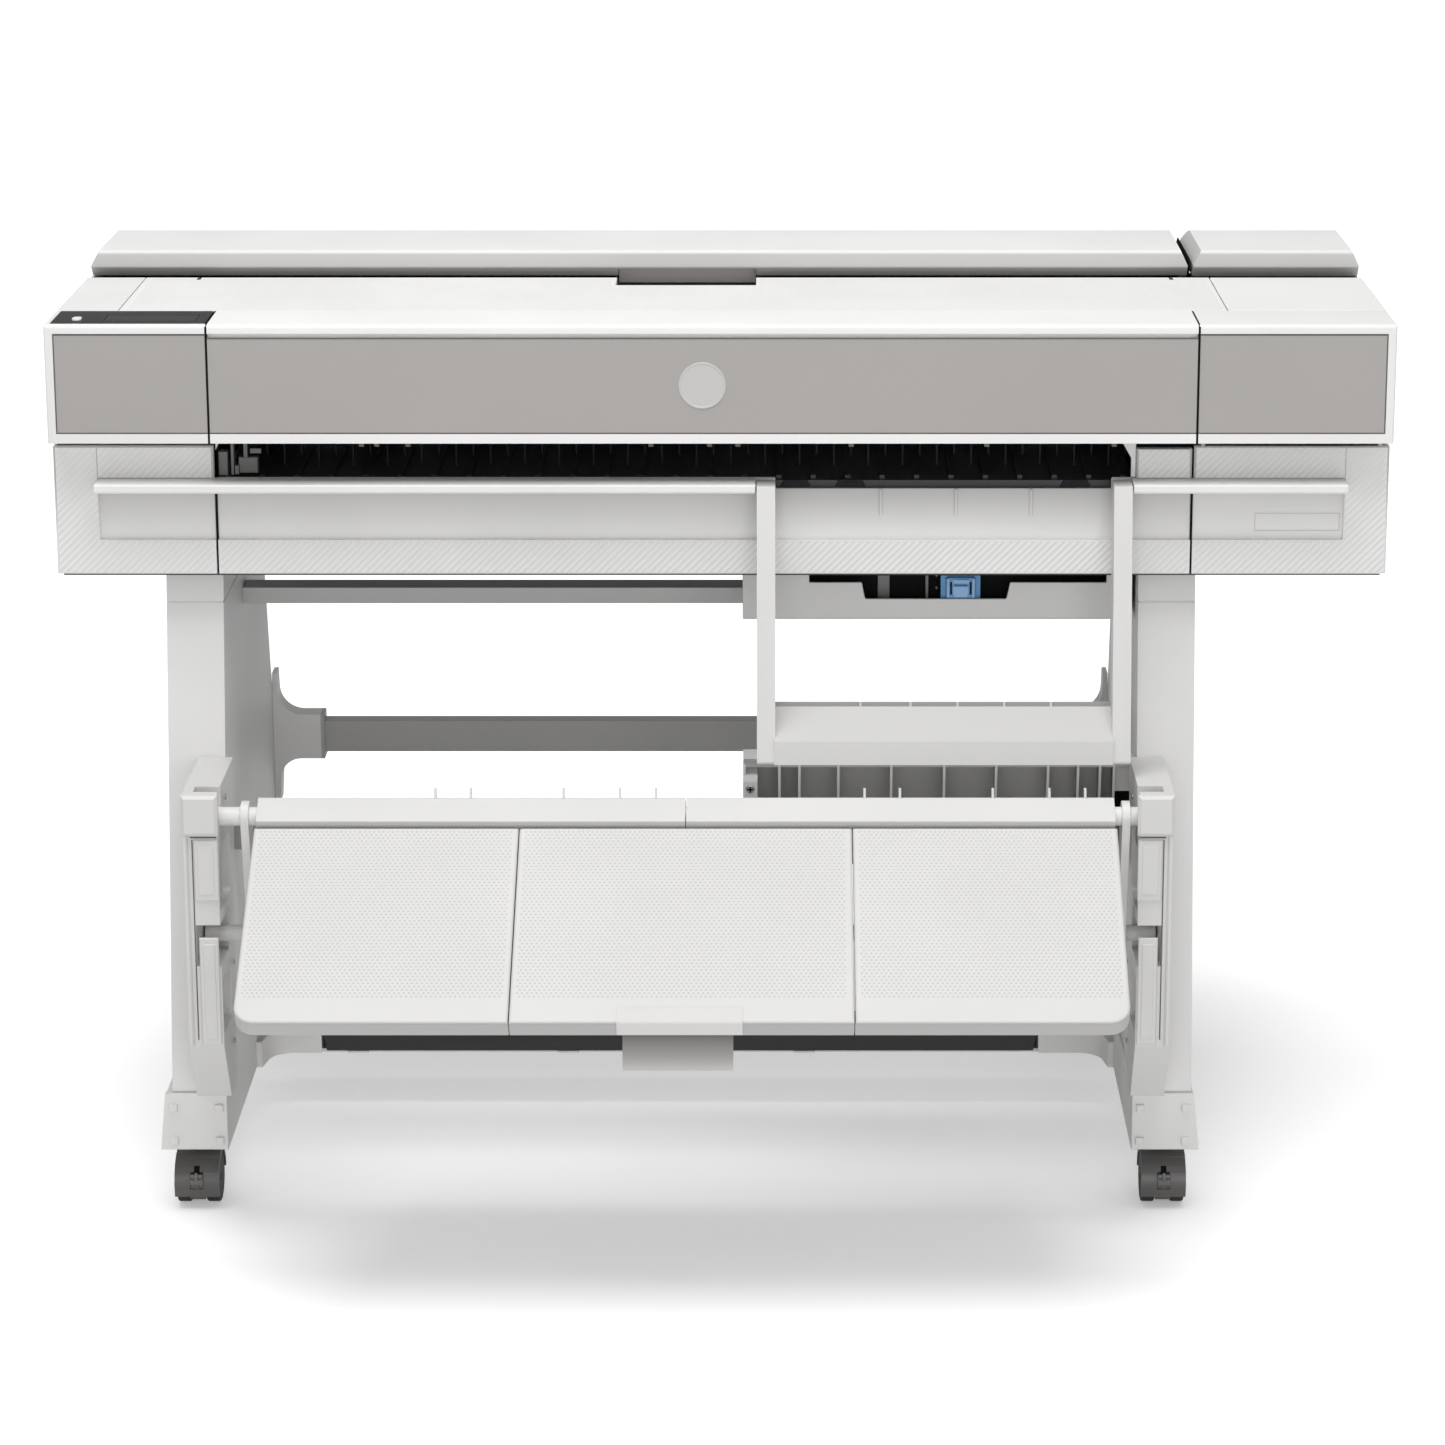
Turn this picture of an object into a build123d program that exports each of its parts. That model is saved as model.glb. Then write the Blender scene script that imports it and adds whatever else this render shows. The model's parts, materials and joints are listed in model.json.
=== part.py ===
from build123d import *
import os

# Large format plotter on a wheeled stand with a folding stacker tray.
# Millimetres. X runs to the right, Y backwards from the fascia, Z up from the floor.
# Each piece is moved back by DEPTH_MIDDLE when it is written, so that the origin ends up
# on the floor under the middle of the whole machine.

os.makedirs("parts", exist_ok=True)

# ---- Printer body ----
UPPER_HALF = 655.5        # half width of the fascia, deck and roll covers
LOWER_HALF = 656.5        # half width of the striped lower covers
BODY_REAR = 445.0
BODY_BOTTOM = 648.0       # underside of the base pan
LOWER_FRONT = 30.0        # the lower covers are set back from the fascia
LOWER_BOTTOM, LOWER_TOP = 651.5, 780.5
FASCIA_BOTTOM, DECK_TOP = 789.5, 907.0
INSERT_BOTTOM, INSERT_TOP = 799.0, 898.0
BEZEL = 8.5               # pale rim beside the grey fascia panels
LEFT_SEAM, RIGHT_SEAM = -498.0, 463.5
STRIP_REAR = 77.0         # the smooth front strip of the deck ends here
DECK_REAR = 266.0
LID_LEFT, LID_RIGHT = -594.0, 498.5
WALL = 3.0
SEAM = 1.0                # gap between neighbouring covers

# ---- Lower front: recess, ledge and exit slot ----
RECESS_HALF = 613.0
RECESS_BOTTOM = 686.0
LEDGE_BOTTOM, LEDGE_TOP = 739.0, 748.0
SLOT_RIGHT = 408.0
ARM_LEFT, ARM_RIGHT, ARM_WIDTH = 35.0, 384.0, 18.0

# ---- Roll cover ----
COVER_TOP = 932.0
COVER_FRONT = 280.0
COVER_SPLIT = (478.0, 484.0)
COVER_PIVOT = (432.0, 898.0)
GRIP_X = (-110.0, 33.0)   # finger grip in the cover's front edge and the lid's rear edge

# ---- Works inside the body ----
SIDE_PLATE = 652.0        # outer face of the chassis side plates
FEED_Y, FEED_Z = 228.0, 734.0
FEED_R, PINCH_R, SHAFT_R = 14.0, 9.0, 7.0
RUNNING_FIT = 0.05
ROD_Y, ROD_Z, ROD_R = 205.0, 835.0, 8.0
BELT_Z, PULLEY_R = 872.0, 12.0
PULLEYS_X = (-620.0, 530.0)
SPINDLE_Y, SPINDLE_Z = 355.0, 800.0
CARRIAGE_X = (411.5, 498.0)
LID_PIVOT = (262.0, 898.0)
DOOR_PIVOT = (12.0, 797.0)
DEFLECTOR_PIVOT = (15.0, 743.0)

# ---- Underside ----
NOTCH_TOP = 629.0         # upper edge of the housing's front wall

# ---- Stand ----
LEG_X = ((-554.0, -497.0), (414.5, 471.5))
FOOT_TOP, FOOT_BOTTOM = 125.0, 67.0
LEG_FRONT = ((61.0, BODY_BOTTOM), (-25.0, FOOT_TOP))
LEG_REAR = ((363.5, BODY_BOTTOM), (492.5, FOOT_TOP))
FOOT_X = ((-561.0, -499.0), (412.0, 474.0))
FOOT_FRONT, FOOT_REAR = -28.0, 508.0
CASTER_X = (-533.0, 446.0)
CASTER_STEM_Y = (20.0, 464.0)
CASTER_TRAIL = 15.0
WHEEL_R, WHEEL_WIDTH, WHEEL_GAP = 25.0, 13.5, 16.0

TROUGH_X, TROUGH_Y = (-434.0, 334.0), (250.0, 300.0)

# ---- Stacker ----
CONSOLE_X = ((-524.0, -489.0), (407.0, 441.0))
TRAY_X = (-454.0, 386.0)
TRAY_SEAMS = (-196.0, 128.0)
TRAY_REAR = (-93.0, 431.0)      # rear edge of the tray's top face, Y and Z
TRAY_SLOPE = 31.9               # degrees down towards the front
TRAY_LENGTH, TRAY_THICK = 243.9, 17.0
ROD_TOP = (-80.0, 435.0, 9.2)   # the tray's hinge rod: Y, Z, radius
ROD_LOW = (-50.0, 305.0, 8.0)   # the rod that rests on the console's stop
FLAP_X = (-91.0, 15.0)
FLAP_DROP = 35.0

FRONT_END = -299.9        # foremost point, the tray's front edge
DEPTH_MIDDLE = (FRONT_END + FOOT_REAR) / 2


def block(x, y, z, radius=0, along=None):
    """A box from (low, high) pairs, with its edges along one axis rounded."""
    size = [high - low for low, high in (x, y, z)]
    centre = [(low + high) / 2 for low, high in (x, y, z)]
    solid = Pos(*centre) * Box(*size)
    if radius:
        solid = fillet(solid.edges().filter_by(along), radius)
    return solid


def outline(points, radius=0):
    """A closed flat outline, its corners rounded by one radius or by a list."""
    if radius:
        return make_face(FilletPolyline(*points, radius=radius, close=True))
    return make_face(Polyline(*points, close=True))


def across(x, points, radius=0):
    """A (Y, Z) outline pushed through from x[0] to x[1]."""
    return extrude(Plane.YZ.offset(x[0]) * outline(points, radius), x[1] - x[0])


def backwards(y, points, radius=0):
    """An (X, Z) outline pushed backwards from y[0] to y[1]."""
    return extrude(Plane.XZ.offset(-y[0]) * outline(points, radius), y[0] - y[1])


def upwards(z, points, radius=0):
    """An (X, Y) outline pushed up from z[0] to z[1]."""
    return extrude(Plane.XY.offset(z[0]) * outline(points, radius), z[1] - z[0])


def bar(x, y, z, radius):
    """A round bar along X."""
    return Pos((x[0] + x[1]) / 2, y, z) * Rot(0, 90, 0) * Cylinder(radius, x[1] - x[0])


def post(x, y, z, radius):
    """A round bar along Z."""
    return Pos(x, y, (z[0] + z[1]) / 2) * Cylinder(radius, z[1] - z[0])


def through(x, y, z, radius):
    """A round bar along Y."""
    return Pos(x, (y[0] + y[1]) / 2, z) * Rot(90, 0, 0) * Cylinder(radius, y[1] - y[0])


def on_tray(shape):
    """From the tray's own plane, Y back and Z up from its top rear edge, to its place."""
    return Pos(0, *TRAY_REAR) * Rot(TRAY_SLOPE, 0, 0) * shape


def write(node, *shapes):
    """Write one node; each shape stays a solid of its own."""
    solids = [solid for shape in shapes for solid in shape.solids()]
    placed = Pos(0, -DEPTH_MIDDLE, 0) * Compound(solids)
    export_step(placed, f"parts/{node}.step")


# ---------------------------------------------------------------- chassis


def chassis():
    """Base pan, side plates, the roll bay's right wall and the cross member."""
    pan = block((-SIDE_PLATE, SIDE_PLATE), (39, 439), (BODY_BOTTOM, BODY_BOTTOM + WALL))
    profile = [(40, 651), (439, 651), (439, 868), (405, 868), (405, 892), (270, 892),
               (270, 880), (40, 780)]
    shaft_hole = bar((-700, 700), FEED_Y, FEED_Z, SHAFT_R + RUNNING_FIT)
    journal_hole = bar((-700, 500), SPINDLE_Y, SPINDLE_Z, 10 + RUNNING_FIT)
    left = across((-SIDE_PLATE, WALL - SIDE_PLATE), profile) - shaft_hole - journal_hole
    right = across((SIDE_PLATE - WALL, SIDE_PLATE), profile) - shaft_hole
    bay_wall = block((478.5, 481.5), (270, 439), (651, 868))
    bay_wall += block((478.5, 481.5), (270, 405), (868, 898))
    bay_wall -= journal_hole
    beam = block((-649, 649), (264, 267), (651, 890))
    beam -= block((-505, 415), (263, 268), (728, 776))
    ears = [block((x, x + 3.5), (253, 269), (890, 903.3)) for x in (-600.5, 500.5)]
    lid_pins = bar((-650, 650), *LID_PIVOT, 3 + RUNNING_FIT)
    ears = [ear - lid_pins for ear in ears]
    cover_pins = bar((-660, 660), *COVER_PIVOT, 3 + RUNNING_FIT)
    hooks = []
    for arm, root in (((-647, -644), (-649, -644)), ((472, 475), (472, 478.5))):
        hook = block(arm, (412, 437), (893, 903))
        hook += block(arm, (412, 418), (856, 893))
        hook += block(root, (412, 418), (856, 866))
        hooks.append(hook - cover_pins)
    return pan, left, right, bay_wall, beam, *ears, *hooks


def lower_cover(x, top):
    """A front cover with the long smooth recess that runs across the machine."""
    panel = block(x, (LOWER_FRONT, 38), (LOWER_BOTTOM, top))
    recess_x = (max(x[0], -RECESS_HALF), min(x[1], RECESS_HALF))
    recess = block(recess_x, (LOWER_FRONT - 1, 35), (RECESS_BOTTOM, LEDGE_TOP))
    inside = (x[0] + WALL, x[1] - WALL)
    below = block(inside, (33, 39), (LOWER_BOTTOM + WALL, RECESS_BOTTOM - WALL))
    return panel - recess - below


def left_lower_cover():
    x = (-LOWER_HALF, LEFT_SEAM - SEAM)
    cover = lower_cover(x, LOWER_TOP)
    cover += block((-LOWER_HALF, WALL - LOWER_HALF), (36, BODY_REAR - 1), (LOWER_BOTTOM, LOWER_TOP))
    edges = cover.edges().filter_by(Axis.Z).group_by(Axis.X)[0].sort_by(Axis.Y)[:1]
    return fillet(edges, 2.5)


def right_lower_cover():
    """The right lower cover also carries the two ears that the ink door hangs on."""
    x = (RIGHT_SEAM + SEAM, LOWER_HALF)
    cover = lower_cover(x, LOWER_TOP)
    cover += block((LOWER_HALF - WALL, LOWER_HALF), (36, BODY_REAR - 1), (LOWER_BOTTOM, LOWER_TOP))
    edges = cover.edges().filter_by(Axis.Z).group_by(Axis.X)[-1].sort_by(Axis.Y)[:1]
    cover = fillet(edges, 2.5)
    pins = bar((460, 655), *DOOR_PIVOT, 2.5 + RUNNING_FIT)
    for left in (471, 645):
        ear = block((left, left + 4), (7, 38), (792, 802))
        ear = fillet(ear.edges().filter_by(Axis.X).group_by(Axis.Y)[0], 4)
        ear += block((left, left + 4), (31, 38), (LOWER_TOP, 792))
        cover += ear - pins
    return cover


def centre_lower_cover():
    """The middle cover, low between the deflector's arms and high at its right end."""
    cover = lower_cover((LEFT_SEAM + SEAM, RIGHT_SEAM - SEAM), LEDGE_TOP)
    arms = (ARM_LEFT + ARM_WIDTH, ARM_RIGHT)
    cover -= block(arms, (LOWER_FRONT - 1, 39), (737, LEDGE_TOP + 1))
    cover += block((SLOT_RIGHT, RIGHT_SEAM - SEAM), (LOWER_FRONT, 38), (LEDGE_TOP, 778))
    for x in (157, 231, 305):
        cover += block((x - 1.5, x + 1.5), (32, 36), (710, 737))
    return cover


def exit_ledge():
    """The lip under the slot, in two lengths, bored at its ends for the deflector's pins."""
    profile = [(0, 741), (0, 747), (1, LEDGE_TOP), (35, LEDGE_TOP), (35, LEDGE_BOTTOM - 6),
               (30, LEDGE_BOTTOM - 6), (26, LEDGE_BOTTOM), (2, LEDGE_BOTTOM)]
    pins = bar((20, 420), *DEFLECTOR_PIVOT, 2.5 + RUNNING_FIT)
    left = across((-RECESS_HALF, ARM_LEFT - 1.5), profile) - pins
    right = across((ARM_RIGHT + ARM_WIDTH + 1.5, RECESS_HALF), profile) - pins
    return left, right


# ---------------------------------------------------------------- upper covers


def end_profile(rear_wall):
    """Side view of an end cover's outer wall, stepped down at the rear for the roll cover."""
    return [(33, 781.5), (33, FASCIA_BOTTOM), (0, FASCIA_BOTTOM), (0, DECK_TOP),
            (DECK_REAR, DECK_TOP), (DECK_REAR + 4, 903), (rear_wall, 903),
            (rear_wall + 10, 882), (BODY_REAR, 882), (BODY_REAR, 781.5)]


def left_end_cover():
    """Fascia rim, side wall and deck of the left end, with an opening for the panel."""
    x = (-UPPER_HALF, LEFT_SEAM - SEAM / 2)
    cover = across((x[0], x[0] + WALL), end_profile(405))
    cover += block(x, (0, 6), (FASCIA_BOTTOM, DECK_TOP))
    cover += block(x, (6, STRIP_REAR), (DECK_TOP - WALL, DECK_TOP))
    cover += block((x[0], LID_LEFT - SEAM), (STRIP_REAR, DECK_REAR), (DECK_TOP - WALL, DECK_TOP))
    cover += block((x[1] - WALL, x[1]), (6, STRIP_REAR), (FASCIA_BOTTOM, DECK_TOP - WALL))
    cover += block(x, (6, 60), (FASCIA_BOTTOM, FASCIA_BOTTOM + 2.5))
    front = cover.edges().filter_by(Axis.X).group_by(Axis.Y)[0].sort_by(Axis.Z)
    cover = fillet(front[-1:], 4)
    corner = cover.edges().filter_by(Axis.Z).group_by(Axis.Y)[0].sort_by(Axis.X)[:1]
    cover = fillet(corner, 2)
    cover -= block((x[0] + BEZEL, x[1] + 1), (-1, 2.6), (INSERT_BOTTOM, INSERT_TOP))
    return cover - block((-650.4, -499.4), (6.6, 74.4), (897.5, DECK_TOP + 1))


def fascia_panel(x, top=INSERT_TOP):
    """A thin grey panel let into the fascia."""
    panel = block(x, (0.3, 2.6), (INSERT_BOTTOM + 0.3, top - 0.3))
    return fillet(panel.edges().group_by(Axis.Y)[0], 0.5)


def control_panel():
    """Black deck insert with a pocket for the screen and a hole for the button."""
    panel = block((-650, -499.8), (7, 74), (898, DECK_TOP + 0.2), 2, Axis.Z)
    panel -= block((-600.3, -510.7), (20.7, 51.8), (DECK_TOP - 1.5, DECK_TOP + 1))
    hole = [(-631.8, 20.7), (-622.2, 20.7), (-622.2, 35.3), (-631.8, 35.3)]
    return panel - upwards((890, 910), hole, 4.7)


def display_screen():
    return block((-600, -511), (21, 51.5), (DECK_TOP - 1.5, DECK_TOP + 0.1), 1.5, Axis.Z)


def power_button():
    """A pill-shaped key, held from below by its flange."""
    pill = [(-631.5, 21), (-622.5, 21), (-622.5, 35), (-631.5, 35)]
    key = upwards((896, DECK_TOP + 1.8), pill, 4.4)
    key = fillet(key.edges().group_by(Axis.Z)[-1], 0.6)
    return key + block((-634, -620), (18, 38), (896, 897.7), 3, Axis.Z)


def top_lid():
    """Middle fascia and deck in one moulding, wider behind the front strip."""
    strip = (LEFT_SEAM + SEAM / 2, RIGHT_SEAM - SEAM / 2)
    wide = (LID_LEFT, LID_RIGHT)
    under = DECK_TOP - 3.5
    lid = block(strip, (0, 6), (FASCIA_BOTTOM, DECK_TOP))
    lid += block(strip, (6, STRIP_REAR + SEAM), (under, DECK_TOP))
    lid += block(wide, (STRIP_REAR + SEAM, DECK_REAR), (under, DECK_TOP))
    for x in (strip[0], strip[1] - WALL):
        lid += block((x, x + WALL), (6, 60), (872, under))
    for x in (-584, -340, 126, 340, 484):
        lid += block((x, x + 2.5), (82, 240), (896, under))
    recess = (GRIP_X, (221, DECK_REAR))
    lid += block((GRIP_X[0] - 3, GRIP_X[1] + 3), (218, DECK_REAR), (891, under))
    for x in (wide[0], wide[1] - WALL):
        lid += block((x, x + WALL), (250, DECK_REAR), (892.5, under))
    lid = fillet(lid.edges().filter_by(Axis.X).group_by(Axis.Y)[0].sort_by(Axis.Z)[-1:], 4)
    lid -= block(*[(low - 0.1, high + 0.1) for low, high in recess], (894, DECK_TOP + 1))
    lid -= block((strip[0] - 1, strip[1] + 1), (-1, 2.6), (INSERT_BOTTOM, INSERT_TOP))
    lid -= block((strip[0] - 1, strip[1] + 1), (-1, 5), (INSERT_TOP - 3.5, INSERT_TOP))
    lid += bar((wide[0] - 8, wide[0] + 1), *LID_PIVOT, 3)
    return lid + bar((wide[1] - 1, wide[1] + 8), *LID_PIVOT, 3)


def right_end_cover():
    """Side wall and deck of the right end, behind the ink door."""
    x = (LID_RIGHT + SEAM, UPPER_HALF)
    wall = [point for point in end_profile(405) if point[0] > 33]
    wall += [(BODY_REAR, 781.5), (STRIP_REAR + SEAM, 781.5), (STRIP_REAR + SEAM, DECK_TOP)]
    cover = across((x[1] - WALL, x[1]), list(dict.fromkeys(wall)))
    return cover + block(x, (STRIP_REAR + SEAM, DECK_REAR), (DECK_TOP - WALL, DECK_TOP))


def ink_door():
    """Right fascia, front deck strip and outer side in one door, with its hinge knuckles."""
    x = (RIGHT_SEAM + SEAM / 2, UPPER_HALF)
    door = block(x, (0, 6), (FASCIA_BOTTOM, DECK_TOP))
    door += block(x, (6, STRIP_REAR), (DECK_TOP - WALL, DECK_TOP))
    door += block((x[1] - WALL, x[1]), (6, STRIP_REAR), (FASCIA_BOTTOM, DECK_TOP - WALL))
    door = fillet(door.edges().filter_by(Axis.X).group_by(Axis.Y)[0].sort_by(Axis.Z)[-1:], 4)
    corner = door.edges().filter_by(Axis.Z).group_by(Axis.Y)[0].sort_by(Axis.X)[-1:]
    door = fillet(corner, 2)
    door -= block((x[0] - 1, x[1] - BEZEL), (-1, 2.6), (INSERT_BOTTOM, INSERT_TOP))
    for left, pin in ((476, (469, 476)), (636, (643, 650))):
        door += block((left, left + 7), (5, 12), (793, 801))
        door += bar((left, left + 7), *DOOR_PIVOT, 4)
        door += bar(pin, *DOOR_PIVOT, 2.5)
    return door


def roll_cover_shell(x, rear_bottom, front_bottom):
    """The long cover over the roll, flat on top, undercut in front and round behind."""
    top, front = COVER_TOP, COVER_FRONT
    outside = [(front + 10, front_bottom), (front, 915), (front + 2, top), (BODY_REAR, top),
               (BODY_REAR, rear_bottom), (BODY_REAR - 17, rear_bottom),
               (BODY_REAR - 27, front_bottom)]
    inside = [(front + 13, 870), (front + 13, 907), (front + 3.4, 916), (front + 5, top - WALL),
              (BODY_REAR - WALL, top - WALL), (BODY_REAR - WALL, 870)]
    low, high = x
    bevel = [(low, 860), (high, 860), (high, 917), (high - 7, top), (low + 8, top), (low, 917)]
    hollow = [(low + WALL, 860), (high - WALL, 860), (high - WALL, 916), (high - 9, top - WALL),
              (low + 10, top - WALL), (low + WALL, 916)]
    shell = across(x, outside, [1, 3, 5, 34, 1, 1, 1]) & backwards((260, 460), bevel)
    space = across((low + WALL, high - WALL), inside, [0.5, 1, 2, 3, 31, 0.5])
    return shell - (space & backwards((260, 460), hollow))


def roll_cover():
    """The moving length of the roll cover, with a boss and pin at each end."""
    x = (-653, COVER_SPLIT[0])
    cover = roll_cover_shell(x, 895, 905)
    for wall, pin in ((x[0], (-652, -643)), (x[1] - WALL, (468, 476))):
        cover += bar((wall, wall + WALL), *COVER_PIVOT, 6)
        cover += bar(pin, *COVER_PIVOT, 3)
    low, high = GRIP_X
    cover += block((low - 3, high + 3), (COVER_FRONT + 11, COVER_FRONT + 24), (905, 917))
    cover -= block((low, high), (COVER_FRONT - 1, COVER_FRONT + 21), (890, 913.5), 1.5, Axis.Y)
    return cover


def roll_end_cover():
    return roll_cover_shell((COVER_SPLIT[1], 654.5), 884, 904)


def rear_cover():
    """Back panel with two banks of vents, the power inlet's cut-out and two ports."""
    panel = block((-648, 648), (440, BODY_REAR), (652, 881))
    for side in (-1, 1):
        for n in range(14):
            x = side * (330 + 14 * n) - 2.5
            panel -= block((x, x + 5), (439, BODY_REAR + 1), (790, 850))
    panel -= block((560, 590), (439, BODY_REAR + 1), (668, 692))
    panel -= block((520, 536), (439, BODY_REAR + 1), (760, 774))
    return panel - block((545, 560), (439, BODY_REAR + 1), (760, 768))


# ---------------------------------------------------------------- works


def platen():
    """Print platen on a folded channel, ribbed across the media path."""
    x = (-496, 406)
    bed = block(x, (41, 205), (738, 744))
    bed += block(x, (41, 45), (651, 738))
    bed += block(x, (201, 205), (651, 738))
    for n in range(27):
        rib = x[0] + 6 + n * 34
        bed += block((rib, rib + 5), (48, 198), (744, 747.6))
    return bed


def feed_roller():
    """Media drive roller on its long shaft."""
    roller = bar((-494, 404), FEED_Y, FEED_Z, FEED_R)
    return roller + bar((-652, 652), FEED_Y, FEED_Z, SHAFT_R)


def pinch_rollers():
    """Pinch rollers on one thin shaft, above the drive roller."""
    z = FEED_Z + FEED_R + 0.4 + PINCH_R
    shaft = bar((-499, 409), FEED_Y, z, 3)
    for n in range(9):
        x = -480 + n * 105
        shaft += bar((x, x + 40), FEED_Y, z, PINCH_R)
    return shaft


def carriage_rail():
    """Rear beam, guide rod and encoder strip, with the rod's and the pinch shaft's supports."""
    beam = block((-649, 649), (246, 262), (790, 850))
    beam -= block((-640, 640), (249, 263), (793, 847))
    pinch_z = FEED_Z + FEED_R + 0.4 + PINCH_R
    for x in (-606, 500.5):
        beam += block((x, x + 4), (192, 246), (822, 848))
    rod_hole = bar((-700, 700), ROD_Y, ROD_Z, ROD_R)
    beam -= rod_hole
    for x in (-504, 410):
        beam += block((x, x + 4), (FEED_Y - 8, 252), (pinch_z - 8, 790))
    beam -= bar((-700, 700), FEED_Y, pinch_z, 3 + RUNNING_FIT)
    rod = bar((-606, 504.5), ROD_Y, ROD_Z, ROD_R)
    strip = block((-600, 500), (241, 242), (800, 812))
    return beam, rod, strip


def carriage():
    """Print head carriage on the guide rod, with its clamp under the belt."""
    x0, x1 = CARRIAGE_X
    body = block((x0, x1), (82, 188), (752, 846), 6, Axis.Z)
    body += block((x0 + 8, x1 - 8), (180, 222), (818, 852))
    body += block((x0 + 30, x1 - 30), (206, 218), (850, BELT_Z - PULLEY_R - 3))
    body -= bar((x0 - 1, x1 + 1), ROD_Y, ROD_Z, ROD_R + RUNNING_FIT)
    return body - block((x0 + 10, x1 - 10), (90, 180), (840, 850))


def pulley(x):
    """A belt pulley on an axis along Y, with its flanges and shaft."""
    wheel = through(x, (208, 217), BELT_Z, PULLEY_R)
    wheel += through(x, (206, 208), BELT_Z, PULLEY_R + 3)
    wheel += through(x, (217, 219), BELT_Z, PULLEY_R + 3)
    return wheel + through(x, (219, 236), BELT_Z, 3)


def drive_belt():
    """Flat belt round the two pulleys."""
    gap = 0.4
    left, right = PULLEYS_X

    def loop(radius):
        ends = through(left, (208.5, 216.5), BELT_Z, radius)
        ends += through(right, (208.5, 216.5), BELT_Z, radius)
        run = block((left, right), (208.5, 216.5), (BELT_Z - radius, BELT_Z + radius))
        return ends + run

    return loop(PULLEY_R + gap + 1.6) - loop(PULLEY_R + gap)


def drive_motors():
    """Carriage motor behind the right pulley, idler block at the left, feed motor below."""
    shaft = [through(x, (200, 250), BELT_Z, 3 + RUNNING_FIT) for x in PULLEYS_X]
    carriage_motor = through(PULLEYS_X[1], (222, 260), BELT_Z, 20) - shaft[1]
    idler = block((-632, -608), (222, 240), (851, 884)) - shaft[0]
    feed_motor = bar((560, 622), FEED_Y, FEED_Z, 26)
    feed_motor -= bar((550, 630), FEED_Y, FEED_Z, SHAFT_R + RUNNING_FIT)
    return carriage_motor, idler, feed_motor


def roll_spindle():
    """Media roll spindle with its two hubs."""
    spindle = bar((-651.5, 481), SPINDLE_Y, SPINDLE_Z, 10)
    spindle += bar((-600, 455), SPINDLE_Y, SPINDLE_Z, 16)
    hubs = []
    for x, inward in ((-600, 1), (455, -1)):
        plate = sorted((x, x + 6 * inward))
        core = sorted((x + 6 * inward, x + 46 * inward))
        hub = bar(plate, SPINDLE_Y, SPINDLE_Z, 58)
        hub += bar(core, SPINDLE_Y, SPINDLE_Z, 25)
        hubs.append(hub - bar((-700, 700), SPINDLE_Y, SPINDLE_Z, 16))
    return spindle, *hubs


def ink_supply():
    """Ink cartridges side by side on their rack, behind the right fascia."""
    rack = block((506, 644.5), (24, 200), (800, 804))
    rack += block((506, 644.5), (196, 200), (804, 880))
    rack += block((506, 509), (30, 196), (804, 850))
    pitch, wide = 27, 24
    cartridges = []
    for n in range(5):
        x = 511 + n * pitch
        body = block((x, x + wide), (26, 196), (804, 892), 2, Axis.Y)
        cartridges.append(body - block((x + 5, x + wide - 5), (20, 32), (820, 835)))
    return rack, *cartridges


def service_station():
    """Capping and wiping station under the carriage's parking place."""
    base = block((413, 497), (84, 190), (651, 740), 4, Axis.Z)
    base -= block((419, 491), (90, 184), (700, 741))
    base += block((435, 475), (100, 140), (700, 748), 3, Axis.Z)
    base += block((430, 480), (152, 156), (700, 746))
    return base + block((430, 480), (166, 170), (700, 746))


def electronics():
    """Power supply with the mains inlet, and the main board with its chips and ports."""
    supply = block((496, 644), (300, 430), (651.5, 712))
    for n in range(8):
        supply -= block((506 + 16 * n, 510 + 16 * n), (299, 303), (665, 700))
    inlet = block((561, 589), (430, 444), (669, 691))
    inlet -= block((563.5, 586.5), (434, 445), (671.5, 688.5))
    for x, z in ((568, 676), (582, 676), (575, 684)):
        inlet += block((x - 1, x + 1), (433, 443), (z - 2, z + 2))
    board = block((492, 646), (426, 428), (722, 862))
    for x, z, half in ((620, 800, 14), (580, 830, 10), (540, 820, 8)):
        board += block((x - half, x + half), (422, 426), (z - half, z + half))
    board += block((521, 535), (428, 443), (761, 773)) - block((523, 533), (430, 444), (763, 771))
    return supply + inlet, board


# ---------------------------------------------------------------- underside


def underside_housing():
    """Pale box under the right half, notched in front for the blue latch."""
    x, y = (20, 411), (85, 195)
    box = block(x, y, (590, BODY_BOTTOM))
    box = fillet(box.edges().filter_by(Axis.X).group_by(Axis.Z)[0], 4)
    box -= block((x[0] + WALL, x[1] - WALL), (y[0] + WALL, y[1] - WALL), (593, BODY_BOTTOM + 1))
    box -= block((87, 385), (84, 90), (NOTCH_TOP, BODY_BOTTOM + 1))
    notch = [(138, NOTCH_TOP + 8), (143, 612), (285, 612), (290, NOTCH_TOP + 8)]
    box -= backwards((84, 90), notch, [0.5, 2, 2, 0.5])
    box += block((130, 298), (88, 105), (599, 604))
    return box + block((130, 298), (88, 105), (636, 641))


def blue_latch():
    """Sliding latch: a foot between the rails and a grip that shows in the notch."""
    latch = block((219, 259), (91, 104), (604.6, 635.4), 2, Axis.Y)
    latch += block((224.5, 253.5), (86, 91), (612.5, 633.5), 2, Axis.Y)
    return latch - block((233, 245), (84, 88), (617, 629))


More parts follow.
